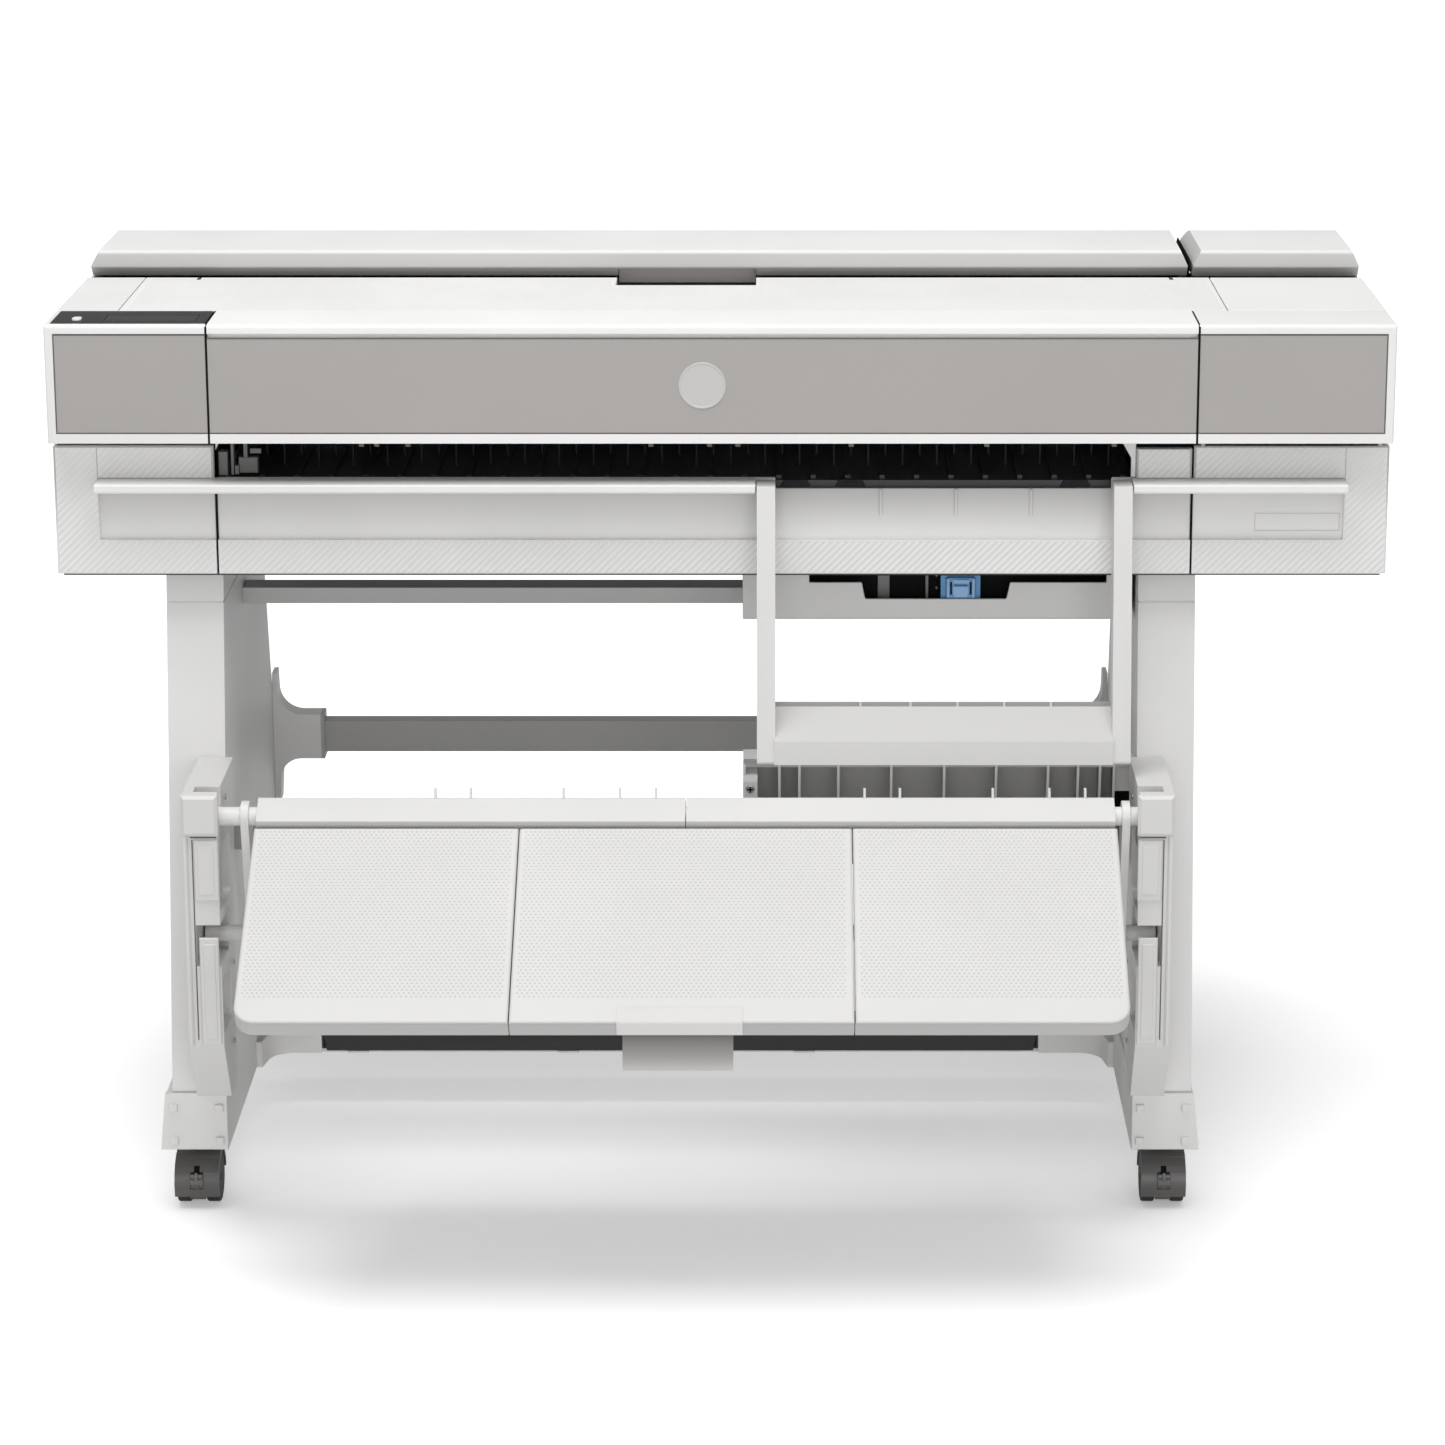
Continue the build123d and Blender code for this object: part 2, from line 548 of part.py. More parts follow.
def deflector_frame():
    """U-shaped frame that hangs in front and turns the sheet down into the stacker."""
    def lean(top, bottom):
        arm = [(-3, 747.6), (27, 747.6), (-13, 476), (-43, 476)]
        return across((top, bottom), arm, [3, 3, 2, 3])

    inner = (ARM_LEFT + ARM_WIDTH - 1, ARM_RIGHT + 1)
    frame = lean(ARM_LEFT, ARM_LEFT + ARM_WIDTH) + lean(ARM_RIGHT, ARM_RIGHT + ARM_WIDTH)
    shelf = [(-43, 476), (-43, 500), (-8, 526), (-5, 524), (-38, 498), (-40, 476)]
    frame += across(inner, shelf)
    for pin in ((ARM_LEFT - 9, ARM_LEFT + 2), (ARM_RIGHT + ARM_WIDTH - 2, ARM_RIGHT + ARM_WIDTH + 9)):
        frame += bar(pin, *DEFLECTOR_PIVOT, 2.5)
    return frame


# ---------------------------------------------------------------- stand


def front_of_leg(z, gap=0.0):
    """How far back the leg's front face is at a height."""
    (y_top, z_top), (y_low, z_low) = LEG_FRONT
    return y_top + (z - z_top) * (y_low - y_top) / (z_low - z_top) - gap


def leg(x):
    """Tapered hollow leg panel with a shallow panel line under its top cap."""
    points = [LEG_FRONT[0], LEG_FRONT[1], LEG_REAR[1], LEG_REAR[0]]
    panel = across(x, points)
    panel = fillet(panel.edges().filter_by(Axis.X), 5)
    hollow = [(y + (4 if n < 2 else -4), z - (4 if n in (0, 3) else -1))
              for n, (y, z) in enumerate(points)]
    panel -= across((x[0] + 4, x[1] - 4), hollow)
    groove_z = 616
    y = (front_of_leg(groove_z) - 5, 380)
    groove = block((x[0] - 1, x[1] + 1), y, (groove_z, groove_z + 1.2))
    core = block((x[0] + 1, x[1] - 1), (y[0] + 6, 370), (groove_z - 1, groove_z + 3))
    return panel - (groove - core)


def foot(x, outward, caster_x):
    """Foot bar: a square tube with a flared front plate and a rear plate."""
    z = (FOOT_BOTTOM, FOOT_TOP)
    tube = block(x, (FOOT_FRONT + 4, FOOT_REAR - 4), z)
    tube -= block((x[0] + WALL, x[1] - WALL), (FOOT_FRONT + 3, FOOT_REAR - 3), (z[0] + 5, z[1] - WALL))
    for y in CASTER_STEM_Y:
        tube -= post(caster_x, y, (60, 80), 6 + RUNNING_FIT)
    low, high = x
    flare = 6
    wide = (low - flare, high) if outward < 0 else (low, high + flare)
    front = [(wide[0], FOOT_BOTTOM), (wide[1], FOOT_BOTTOM), (high, FOOT_TOP + 2), (low, FOOT_TOP + 2)]
    front_plate = backwards((FOOT_FRONT, FOOT_FRONT + 4), front)
    front_plate = fillet(front_plate.edges().group_by(Axis.Y)[0], 1)
    rear_plate = block(x, (FOOT_REAR - 4, FOOT_REAR), z)
    return tube, front_plate, rear_plate


def stand_bolts():
    """Square-headed bolt caps, four on each foot's front plate."""
    bolts = []
    for low, high in FOOT_X:
        for x in (low + 8, high - 8):
            for z in (FOOT_BOTTOM + 10, FOOT_TOP - 13):
                head = block((x - 4, x + 4), (FOOT_FRONT - 3, FOOT_FRONT), (z - 4, z + 4))
                bolts.append(fillet(head.edges().group_by(Axis.Y)[0], 1))
    return bolts


def upper_rail():
    """Steel channel between the legs under the body."""
    x = (LEG_X[0][1], LEG_X[1][0])
    rail = block(x, (199, 233), (578, 595))
    return rail - block((x[0] - 1, x[1] + 1), (202, 230), (577, 592))


def lower_beam():
    """Rear beam between the legs, with its flared end brackets."""
    left, right = LEG_X[0][1], LEG_X[1][0]
    beam = block((left, right), (420, 440), (354, 389))
    for side, x in ((1, left), (-1, right)):
        tip = x + side * 56
        flare = [(x, 298), (x, 444), (x + side * 5, 444), (x + side * 6.5, 397.5), (tip, 397.5),
                 (tip, 347), (x + side * 9, 347), (x + side * 6, 298)]
        beam += backwards((416, 442), flare, [0.5, 0.5, 0.5, 27, 1, 1, 22, 0.5])
    return beam - block((left - 1, right + 1), (423, 437), (357, 386))


def cross_brace():
    """Folded brace between the foot bars, curving forward and up to meet them."""
    x = (FOOT_X[0][1], FOOT_X[1][0])
    front, rear, flare = TROUGH_Y[0], 306, 44
    bottom, top = FOOT_BOTTOM, FOOT_BOTTOM + 28
    plan = [(x[0], front - flare), (x[0] + 6, front - flare), (x[0] + 14, front),
            (x[1] - 14, front), (x[1] - 6, front - flare), (x[1], front - flare),
            (x[1], rear), (x[0], rear)]
    radii = [0.5, 1, 26, 26, 1, 0.5, 0.5, 0.5]
    brace = upwards((bottom, top), plan, radii)
    brace -= Pos(0, WALL, 0) * upwards((bottom + 4, top + 1), plan, radii)
    low, high = TROUGH_X
    brace -= block((low - 0.5, high + 0.5), (front - 1, front + WALL + 0.5), (bottom - 1, top + 1))
    brace += block((low - 30, high + 30), (rear - 4, rear - 1), (bottom, bottom + 18))
    for tab in (-407, -181, 72):
        brace += block((tab, tab + 23), (front, front + 4), (bottom, bottom + 2))
    return brace


def lower_trough():
    """Black catch trough that lies in the brace and hangs over its front edge."""
    (low, high), y = TROUGH_X, TROUGH_Y
    seat, top = FOOT_BOTTOM + 4, FOOT_BOTTOM + 30
    wall = 2.5
    front = [(low, top), (low + 5, FOOT_BOTTOM + 2.5), (high - 5, FOOT_BOTTOM + 2.5), (high, top)]
    trough = block((low, high), (y[0] + 4, y[1]), (seat, top))
    trough += backwards((y[0], y[0] + wall), front)
    trough += block((low, high), (y[0] + wall, y[0] + 4), (seat, top))
    trough -= block((low + wall, high - wall), (y[0] + wall, y[1] - wall), (seat + wall, top + 1))
    for clip in (-123, 21):
        trough += block((clip - 9, clip + 9), (y[0], y[0] + 8), (seat + 8, top + 5))
    return trough


def caster_fork(x, stem_y, trail):
    """Hood of a twin-wheel caster with its stem, its front towards the trail side."""
    axle_y = stem_y + trail
    side = 1 if trail > 0 else -1
    shell = bar((x - 22.5, x + 22.5), axle_y, WHEEL_R, 30)
    shell -= bar((x - 30, x + 30), axle_y, WHEEL_R, 26.8)
    shell -= block((x - 30, x + 30), (axle_y - 40, axle_y + 40), (-10, 14))
    shell -= block((x - 30, x + 30), sorted((axle_y, axle_y - 40 * side)), (-10, 26))
    web = bar((x - 7.6, x + 7.6), axle_y, WHEEL_R, 27.5)
    web -= block((x - 30, x + 30), (axle_y - 40, axle_y + 40), (-10, 9))
    boss = post(x, stem_y, (46, 66.6), 11)
    hood = shell + web + boss
    for wheel_space in ((x - 27.6, x - 7.7), (x + 7.7, x + 27.6)):
        hood -= bar(wheel_space, axle_y, WHEEL_R, WHEEL_R + 0.6)
    hood += post(x, stem_y, (60, 71.5), 6)
    return hood - bar((x - 30, x + 30), axle_y, WHEEL_R, 4 + RUNNING_FIT)


def brake_slot(x, axle_y):
    """The cut in a front caster's hood that the brake tab sits in."""
    return block((x - 6.5, x + 6.5), (axle_y - 40, axle_y - 23), (WHEEL_R - 2, WHEEL_R + 15))


def brake_tab(x, axle_y):
    """Small lever on the front of a caster, on a pin near its top."""
    tab = block((x - 6, x + 6), (axle_y - 30, axle_y - 26), (WHEEL_R - 1.5, WHEEL_R + 13), 1, Axis.X)
    tab += block((x - 2, x + 2), (axle_y - 31.5, axle_y - 29), (WHEEL_R - 1, WHEEL_R + 9))
    return tab + bar((x - 6, x + 6), axle_y - 28, WHEEL_R + 11, 2.3)


def caster_wheels(x, axle_y):
    """Two wheels on one axle."""
    wheels = bar((x - 22, x + 22), axle_y, WHEEL_R, 4)
    for side in (-1, 1):
        edges = sorted((x + side * WHEEL_GAP / 2, x + side * (WHEEL_GAP / 2 + WHEEL_WIDTH)))
        disc = bar(edges, axle_y, WHEEL_R, WHEEL_R)
        wheels += fillet(disc.edges(), 2)
    return wheels


# ---------------------------------------------------------------- stacker


def console(x, inward):
    """Bracket on a leg's front with an open seat for the hinge rod and a lower stop."""
    low = 136
    points = [(front_of_leg(463, 0.3), 463), (-102, 463), (-102, 205), (-60, low),
              (front_of_leg(low, 0.3), low)]
    body = across(x, points, [1, 8, 12, 8, 1])
    pocket = sorted((x[1] - 24, x[1] + 1)) if inward > 0 else sorted((x[0] - 1, x[0] + 24))
    y, z, radius = ROD_TOP
    body -= bar(pocket, y, z, radius + 0.3)
    body -= block(pocket, (y - radius - 0.3, y + radius + 0.3), (z, 470))
    y, z, radius = ROD_LOW
    body -= block(pocket, (-110, y + radius + 0.3), (z - 17, z + 25))
    panel_x = sorted((x[1] - 8, x[1] + 1)) if inward > 0 else sorted((x[0] - 1, x[0] + 8))
    body -= block(panel_x, (-96, -20), (340, 404), 5, Axis.X)
    return body - block(panel_x, (-96, -35), (215, 270), 5, Axis.X)


def tray_panels():
    """Three shallow shells side by side, the outer ones with a round front corner."""
    gap, rim, corner = 0.8, 4.5, 20
    stops = [TRAY_X[0], *TRAY_SEAMS, TRAY_X[1]]
    panels = []
    for n in range(3):
        x = (stops[n] + (gap / 2 if n else 0), stops[n + 1] - (gap / 2 if n < 2 else 0))
        plan = [(x[0], -4), (x[0], -TRAY_LENGTH), (x[1], -TRAY_LENGTH), (x[1], -4)]
        radii = [1, corner if n == 0 else 1, corner if n == 2 else 1, 1]
        shell = upwards((-TRAY_THICK, 0), plan, radii)
        shell = fillet(shell.edges().group_by(Axis.Z)[-1].sort_by(Axis.Y)[0:1], 3)
        sides = (x[0] + rim, x[1] - rim)
        hollow = [(sides[0], -8), (sides[0], rim - TRAY_LENGTH), (sides[1], rim - TRAY_LENGTH),
                  (sides[1], -8)]
        inner = [max(1, radius - rim) for radius in radii]
        shell -= upwards((-TRAY_THICK - 1, -WALL), hollow, inner)
        panels.append(on_tray(shell))
    return panels


def tray_rear_covers():
    """Two flat-faced sleeves over the hinge rod, each with a row of upright fins."""
    y, z, radius = ROD_TOP
    outside = [(y + 7.6, z + 17.2), (y - 18.4, z + 0.7), (y - 17.6, z - 3.6), (y - 15.5, z - 5.6),
               (y - 9.4, z - 15.4), (y + 12, z - 14), (y + 17, z - 6), (y + 17, z + 10)]
    covers = []
    for x, first in (((TRAY_X[0] + 2, -34.4), -279), ((-33.6, TRAY_X[1] - 2), 140.3)):
        cover = across(x, outside, [3, 2, 0.5, 0.5, 2, 3, 4, 3])
        for step in (0, 34.5, 125.2, 180.5, 215.5):
            fin = [(y + 2, z + 8), (y + 10, z + 8), (y + 13, z + 25), (y + 9, z + 25)]
            cover += across((first + step - 1.2, first + step + 1.2), fin)
        covers.append(cover - bar((-700, 700), y, z, radius + 0.05))
    return covers


def tray_rods():
    """The hinge rod, the lower rod, and the side plates that join them."""
    y, z, radius = ROD_TOP
    low_y, low_z, low_radius = ROD_LOW
    ends = (CONSOLE_X[0][1] - 22, CONSOLE_X[1][0] + 22)
    top = bar(ends, y, z, radius)
    low = bar(ends, low_y, low_z, low_radius)
    plates = []
    for x in ((-468, -460), (391, 399)):
        plate = [(y - 15, z + 14), (y + 15, z + 14), (low_y + 13, low_z - 12), (low_y - 13, low_z - 12)]
        plate = across(x, plate, [13, 13, 11, 11])
        plate -= bar((-700, 700), y, z, radius + 0.02)
        plate -= bar((-700, 700), low_y, low_z, low_radius + 0.02)
        plates.append(plate)
    return top, low, *plates


def tray_flap():
    """Hanging flap under the tray's front edge, on a pin along X."""
    pivot = on_tray(Pos(0, 6 - TRAY_LENGTH, -TRAY_THICK - 6)).position
    y, z = pivot.Y, pivot.Z
    flap = bar(FLAP_X, y, z, 4)
    plate = [(y - 4, z), (y - 7, z - FLAP_DROP), (y - 4, z - FLAP_DROP), (y - 1, z)]
    return flap + across(FLAP_X, plate)


def back_guide():
    """Ribbed guide behind the tray, on a bar that runs between the legs."""
    x, rear = (21, 413), 64
    guide = block(x, (rear - WALL, rear), (340, 455))
    guide += block(x, (rear - 34, rear), (452, 455))
    for rib in (22, 57, 77, 116, 169, 222, 274, 326, 356, 378, 392, 412):
        fin = [(rear - 34, 455), (rear, 455), (rear, 340), (rear - 12, 340)]
        guide += across((rib - 1, rib + 1), fin)
    support = block((LEG_X[0][1], LEG_X[1][0]), (rear, rear + 18), (355, 380))
    return guide, support


def write_all():
    write("chassis", *chassis())
    write("left_lower_cover", left_lower_cover())
    write("centre_lower_cover", centre_lower_cover())
    write("right_lower_cover", right_lower_cover())
    write("exit_ledge", *exit_ledge())
    write("left_end_cover", left_end_cover())
    write("left_fascia_panel", fascia_panel((BEZEL - UPPER_HALF, LEFT_SEAM - SEAM / 2)))
    write("control_panel", control_panel())
    write("display_screen", display_screen())
    write("power_button", power_button())
    write("top_lid", top_lid())
    write("lid_fascia_panel",
          fascia_panel((LEFT_SEAM + SEAM / 2, RIGHT_SEAM - SEAM / 2), INSERT_TOP - 3.5))
    write("right_end_cover", right_end_cover())
    write("ink_door", ink_door())
    write("ink_door_panel", fascia_panel((RIGHT_SEAM + SEAM / 2, UPPER_HALF - BEZEL)))
    write("roll_cover", roll_cover())
    write("roll_end_cover", roll_end_cover())
    write("rear_cover", rear_cover())
    write("platen", platen())
    write("feed_roller", feed_roller())
    write("pinch_rollers", pinch_rollers())
    write("carriage_rail", *carriage_rail())
    write("carriage", carriage())
    write("idler_pulley", pulley(PULLEYS_X[0]))
    write("drive_pulley", pulley(PULLEYS_X[1]))
    write("drive_belt", drive_belt())
    write("drive_motors", *drive_motors())
    write("roll_spindle", *roll_spindle())
    write("ink_supply", *ink_supply())
    write("service_station", service_station())
    write("electronics", *electronics())
    write("underside_housing", underside_housing())
    write("blue_latch", blue_latch())
    write("deflector_frame", deflector_frame())
    for side, name in enumerate(("left", "right")):
        outward = 2 * side - 1
        write(f"{name}_leg", leg(LEG_X[side]))
        write(f"{name}_foot", *foot(FOOT_X[side], outward, CASTER_X[side]))
        write(f"{name}_console", console(CONSOLE_X[side], -outward))
        for end, place in enumerate(("front", "rear")):
            trail = CASTER_TRAIL * (2 * end - 1)
            stem = CASTER_STEM_Y[end]
            fork = caster_fork(CASTER_X[side], stem, trail)
            if place == "front":
                fork -= brake_slot(CASTER_X[side], stem + trail)
                write(f"{place}_{name}_brake", brake_tab(CASTER_X[side], stem + trail))
            write(f"{place}_{name}_caster", fork)
            write(f"{place}_{name}_wheels", caster_wheels(CASTER_X[side], stem + trail))
    write("stand_bolts", *stand_bolts())
    write("upper_rail", upper_rail())
    write("lower_beam", lower_beam())
    write("cross_brace", cross_brace())
    write("lower_trough", lower_trough())
    write("tray_panels", *tray_panels())
    write("tray_rear_covers", *tray_rear_covers())
    write("tray_rods", *tray_rods())
    write("tray_flap", tray_flap())
    write("back_guide", *back_guide())


write_all()
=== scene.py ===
import json
import math

import bmesh
import bpy
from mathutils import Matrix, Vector


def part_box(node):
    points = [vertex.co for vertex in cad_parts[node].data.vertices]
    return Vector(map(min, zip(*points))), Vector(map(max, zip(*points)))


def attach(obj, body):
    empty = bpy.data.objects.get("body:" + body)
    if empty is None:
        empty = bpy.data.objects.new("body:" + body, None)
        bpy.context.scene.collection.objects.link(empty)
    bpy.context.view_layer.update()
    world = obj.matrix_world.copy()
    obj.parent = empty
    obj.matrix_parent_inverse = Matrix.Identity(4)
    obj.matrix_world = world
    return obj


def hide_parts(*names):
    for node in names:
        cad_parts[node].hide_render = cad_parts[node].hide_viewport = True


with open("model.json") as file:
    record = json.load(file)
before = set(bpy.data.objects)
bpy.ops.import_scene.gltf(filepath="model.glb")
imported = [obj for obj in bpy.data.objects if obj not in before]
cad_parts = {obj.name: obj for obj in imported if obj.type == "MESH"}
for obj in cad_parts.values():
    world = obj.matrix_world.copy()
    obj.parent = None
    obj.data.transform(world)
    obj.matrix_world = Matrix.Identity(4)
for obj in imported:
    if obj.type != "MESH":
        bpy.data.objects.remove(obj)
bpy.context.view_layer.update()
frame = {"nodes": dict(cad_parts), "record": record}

BODY_OF = {n: b for b, ns in frame["record"]["behaviour"]["bodies"].items() for n in ns}
SLOT_OF = {s["node"]: s["material_slot"] for s in frame["record"]["subparts"]}
MM = 0.001


def low(node):
    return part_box(node)[0]


def high(node):
    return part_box(node)[1]


FASCIA = low("top_lid").y            # front plane of the fascia
DECK = high("top_lid").z             # top of the deck


# ---------------------------------------------------------------- camera, light and floor

CAMERA = Vector((0.0615, FASCIA - 4.0, 1.652))
TILT = math.radians(14.0)
LENS = 104.6                         # mm on a 36 mm sensor
SHIFT = (-0.0425, -0.1)              # fractions of the frame's width
AMBIENT, KEY, FRONT = 0.42, 88, 64   # strength of the surroundings, watts of the two lamps
FLOOR_HALF = 30.0
FLOOR_GLOW = (0.28, 0.70)            # keeps the floor white away from the object
GLOW_SPREAD = (0.5, 1.25)            # metres from the middle


def add_camera():
    data = bpy.data.cameras.new("view")
    data.sensor_width = 36
    data.lens = LENS
    data.shift_x, data.shift_y = SHIFT
    data.clip_end = 60
    camera = bpy.data.objects.new("view", data)
    bpy.context.scene.collection.objects.link(camera)
    camera.location = CAMERA
    camera.rotation_euler = (math.pi / 2 - TILT, 0, 0)
    bpy.context.scene.camera = camera


def add_lamp(name, place, aim, size, watts):
    data = bpy.data.lights.new(name, "AREA")
    data.shape = "RECTANGLE"
    data.size, data.size_y = size
    data.energy = watts
    lamp = bpy.data.objects.new(name, data)
    lamp.location = place
    lamp.rotation_euler = (Vector(aim) - Vector(place)).to_track_quat("-Z", "Y").to_euler()
    bpy.context.scene.collection.objects.link(lamp)


def add_studio():
    """White surroundings, softer as a light than as a backdrop, and two large lamps."""
    scene = bpy.context.scene
    scene.view_settings.view_transform = "Standard"
    world = bpy.data.worlds.new("studio")
    scene.world = world
    world.use_nodes = True
    nodes, links = world.node_tree.nodes, world.node_tree.links
    ambient = nodes["Background"]
    ambient.inputs["Strength"].default_value = AMBIENT
    ambient.inputs["Color"].default_value = (1, 1, 1, 1)
    backdrop = nodes.new("ShaderNodeBackground")
    backdrop.inputs["Color"].default_value = (1, 1, 1, 1)
    path = nodes.new("ShaderNodeLightPath")
    mix = nodes.new("ShaderNodeMixShader")
    links.new(path.outputs["Is Camera Ray"], mix.inputs["Fac"])
    links.new(ambient.outputs["Background"], mix.inputs[1])
    links.new(backdrop.outputs["Background"], mix.inputs[2])
    links.new(mix.outputs["Shader"], nodes["World Output"].inputs["Surface"])
    add_lamp("key", (-0.2, -0.95, 3.8), (0, 0, 0.5), (3.0, 1.6), KEY)
    add_lamp("front", (0.4, -5.4, 1.3), (0, 0, 0.5), (3.6, 2.0), FRONT)


def combine(tree, operation, first, second=None):
    """The result of a math node whose inputs are sockets or plain numbers."""
    node = tree.nodes.new("ShaderNodeMath")
    node.operation = operation
    for socket, value in zip(node.inputs, (first, second)):
        if isinstance(value, bpy.types.NodeSocket):
            tree.links.new(value, socket)
        elif value is not None:
            socket.default_value = value
    return node.outputs["Value"]


def add_floor():
    """A pale floor that fades to white away from the object, seen by the camera only."""
    mesh = bpy.data.meshes.new("floor")
    half = FLOOR_HALF
    corners = [(-half, -half, 0), (half, -half, 0), (half, half, 0), (-half, half, 0)]
    mesh.from_pydata(corners, [], [(0, 1, 2, 3)])
    floor = bpy.data.objects.new("floor", mesh)
    bpy.context.scene.collection.objects.link(floor)
    mat = bpy.data.materials.new("floor")
    mat.use_nodes = True
    tree = mat.node_tree
    shader = tree.nodes["Principled BSDF"]
    shader.inputs["Roughness"].default_value = 0.9
    shader.inputs["Specular IOR Level"].default_value = 0.1
    shader.inputs["Emission Color"].default_value = (1, 1, 1, 1)
    path = tree.nodes.new("ShaderNodeLightPath")
    coords = tree.nodes.new("ShaderNodeTexCoord")
    away = tree.nodes.new("ShaderNodeVectorMath")
    away.operation = "LENGTH"
    rise = tree.nodes.new("ShaderNodeMapRange")
    rise.inputs["From Min"].default_value, rise.inputs["From Max"].default_value = GLOW_SPREAD
    rise.inputs["To Min"].default_value, rise.inputs["To Max"].default_value = FLOOR_GLOW
    tree.links.new(coords.outputs["Object"], away.inputs[0])
    tree.links.new(away.outputs["Value"], rise.inputs["Value"])
    glow = combine(tree, "MULTIPLY", path.outputs["Is Camera Ray"], rise.outputs["Result"])
    tree.links.new(glow, shader.inputs["Emission Strength"])
    noise = tree.nodes.new("ShaderNodeTexNoise")
    noise.inputs["Scale"].default_value = 0.8
    ramp = tree.nodes.new("ShaderNodeValToRGB")
    ramp.color_ramp.elements[0].color = (0.955, 0.955, 0.955, 1)
    ramp.color_ramp.elements[1].color = (0.975, 0.975, 0.975, 1)
    tree.links.new(noise.outputs["Fac"], ramp.inputs["Fac"])
    tree.links.new(ramp.outputs["Color"], shader.inputs["Base Color"])
    mesh.materials.append(mat)


# ---------------------------------------------------------------- materials


def add_shade(tree, coords, base, shade):
    """Blends a colour towards a second one by object-space normal, height or distance along X.

    "recess" goes by height as well, but only on faces that look forwards. By normal, height
    and recess it paints shade; by distance along X ("ends") it gives a two-tone part's ends.
    """
    kind, start, end, colour = shade
    split = tree.nodes.new("ShaderNodeSeparateXYZ")
    source = "Normal" if kind == "normal" else "Generated"
    tree.links.new(coords.outputs[source], split.inputs["Vector"])
    value = split.outputs["X" if kind == "ends" else "Z"]
    if kind == "ends":
        value = combine(tree, "ABSOLUTE", combine(tree, "SUBTRACT", value, 0.5))
    amount = tree.nodes.new("ShaderNodeMapRange")
    amount.inputs["From Min"].default_value, amount.inputs["From Max"].default_value = start, end
    mix = tree.nodes.new("ShaderNodeMix")
    mix.data_type = "RGBA"
    mix.inputs["B"].default_value = (*colour, 1)
    tree.links.new(value, amount.inputs["Value"])
    factor = amount.outputs["Result"]
    if kind == "recess":
        normal = tree.nodes.new("ShaderNodeSeparateXYZ")
        tree.links.new(coords.outputs["Normal"], normal.inputs["Vector"])
        forwards = combine(tree, "LESS_THAN", normal.outputs["Y"], -0.5)
        factor = combine(tree, "MULTIPLY", factor, forwards)
    tree.links.new(factor, mix.inputs["Factor"])
    tree.links.new(base, mix.inputs["A"])
    return mix.outputs["Result"]


def surface(name, colour, rough, grain=0.0, grain_size=0.6, mottle=0.02, metal=0.0, coat=0.0,
            pale_edges=0.0, gleam=0.5, shade=None):
    """A moulded, painted or ground surface: fine grain, faint mottling, uneven gloss."""
    mat = bpy.data.materials.new(name)
    mat.use_nodes = True
    tree = mat.node_tree
    nodes, links = tree.nodes, tree.links
    shader = nodes["Principled BSDF"]
    shader.inputs["Metallic"].default_value = metal
    shader.inputs["Coat Weight"].default_value = coat
    shader.inputs["Specular IOR Level"].default_value = gleam
    coords = nodes.new("ShaderNodeTexCoord")

    broad = nodes.new("ShaderNodeTexNoise")
    broad.inputs["Scale"].default_value = 7.0
    broad.inputs["Detail"].default_value = 4.0
    links.new(coords.outputs["Object"], broad.inputs["Vector"])
    tint = nodes.new("ShaderNodeValToRGB")
    tint.color_ramp.elements[0].position = 0.35
    tint.color_ramp.elements[1].position = 0.65
    tint.color_ramp.elements[0].color = (*[c * (1 - mottle) for c in colour], 1)
    tint.color_ramp.elements[1].color = (*[min(1, c * (1 + mottle)) for c in colour], 1)
    links.new(broad.outputs["Fac"], tint.inputs["Fac"])
    base = tint.outputs["Color"]

    fine = nodes.new("ShaderNodeTexNoise")
    fine.inputs["Scale"].default_value = 1 / (grain_size * MM)
    fine.inputs["Detail"].default_value = 3.0
    links.new(coords.outputs["Object"], fine.inputs["Vector"])
    # Lighter colour on convex edges, found by pointiness.
    if pale_edges:
        edge = nodes.new("ShaderNodeNewGeometry")
        edge_paling = nodes.new("ShaderNodeValToRGB")
        edge_paling.color_ramp.elements[0].position = 0.52
        edge_paling.color_ramp.elements[1].position = 0.60
        links.new(edge.outputs["Pointiness"], edge_paling.inputs["Fac"])
        mix = nodes.new("ShaderNodeMix")
        mix.data_type = "RGBA"
        mix.inputs["B"].default_value = (*[min(1, c * (1 + pale_edges)) for c in colour], 1)
        links.new(edge_paling.outputs["Color"], mix.inputs["Factor"])
        links.new(base, mix.inputs["A"])
        base = mix.outputs["Result"]
    # painted shade, or the lighter ends of a two-tone part
    if shade:
        base = add_shade(tree, coords, base, shade)
    links.new(base, shader.inputs["Base Color"])

    gloss = nodes.new("ShaderNodeMapRange")
    gloss.inputs["To Min"].default_value = max(0.02, rough - 0.06)
    gloss.inputs["To Max"].default_value = min(1.0, rough + 0.06)
    links.new(broad.outputs["Fac"], gloss.inputs["Value"])
    links.new(gloss.outputs["Result"], shader.inputs["Roughness"])
    if grain:
        bump = nodes.new("ShaderNodeBump")
        bump.inputs["Strength"].default_value = 0.5
        bump.inputs["Distance"].default_value = grain * MM
        links.new(fine.outputs["Fac"], bump.inputs["Height"])
        links.new(bump.outputs["Normal"], shader.inputs["Normal"])
    return mat


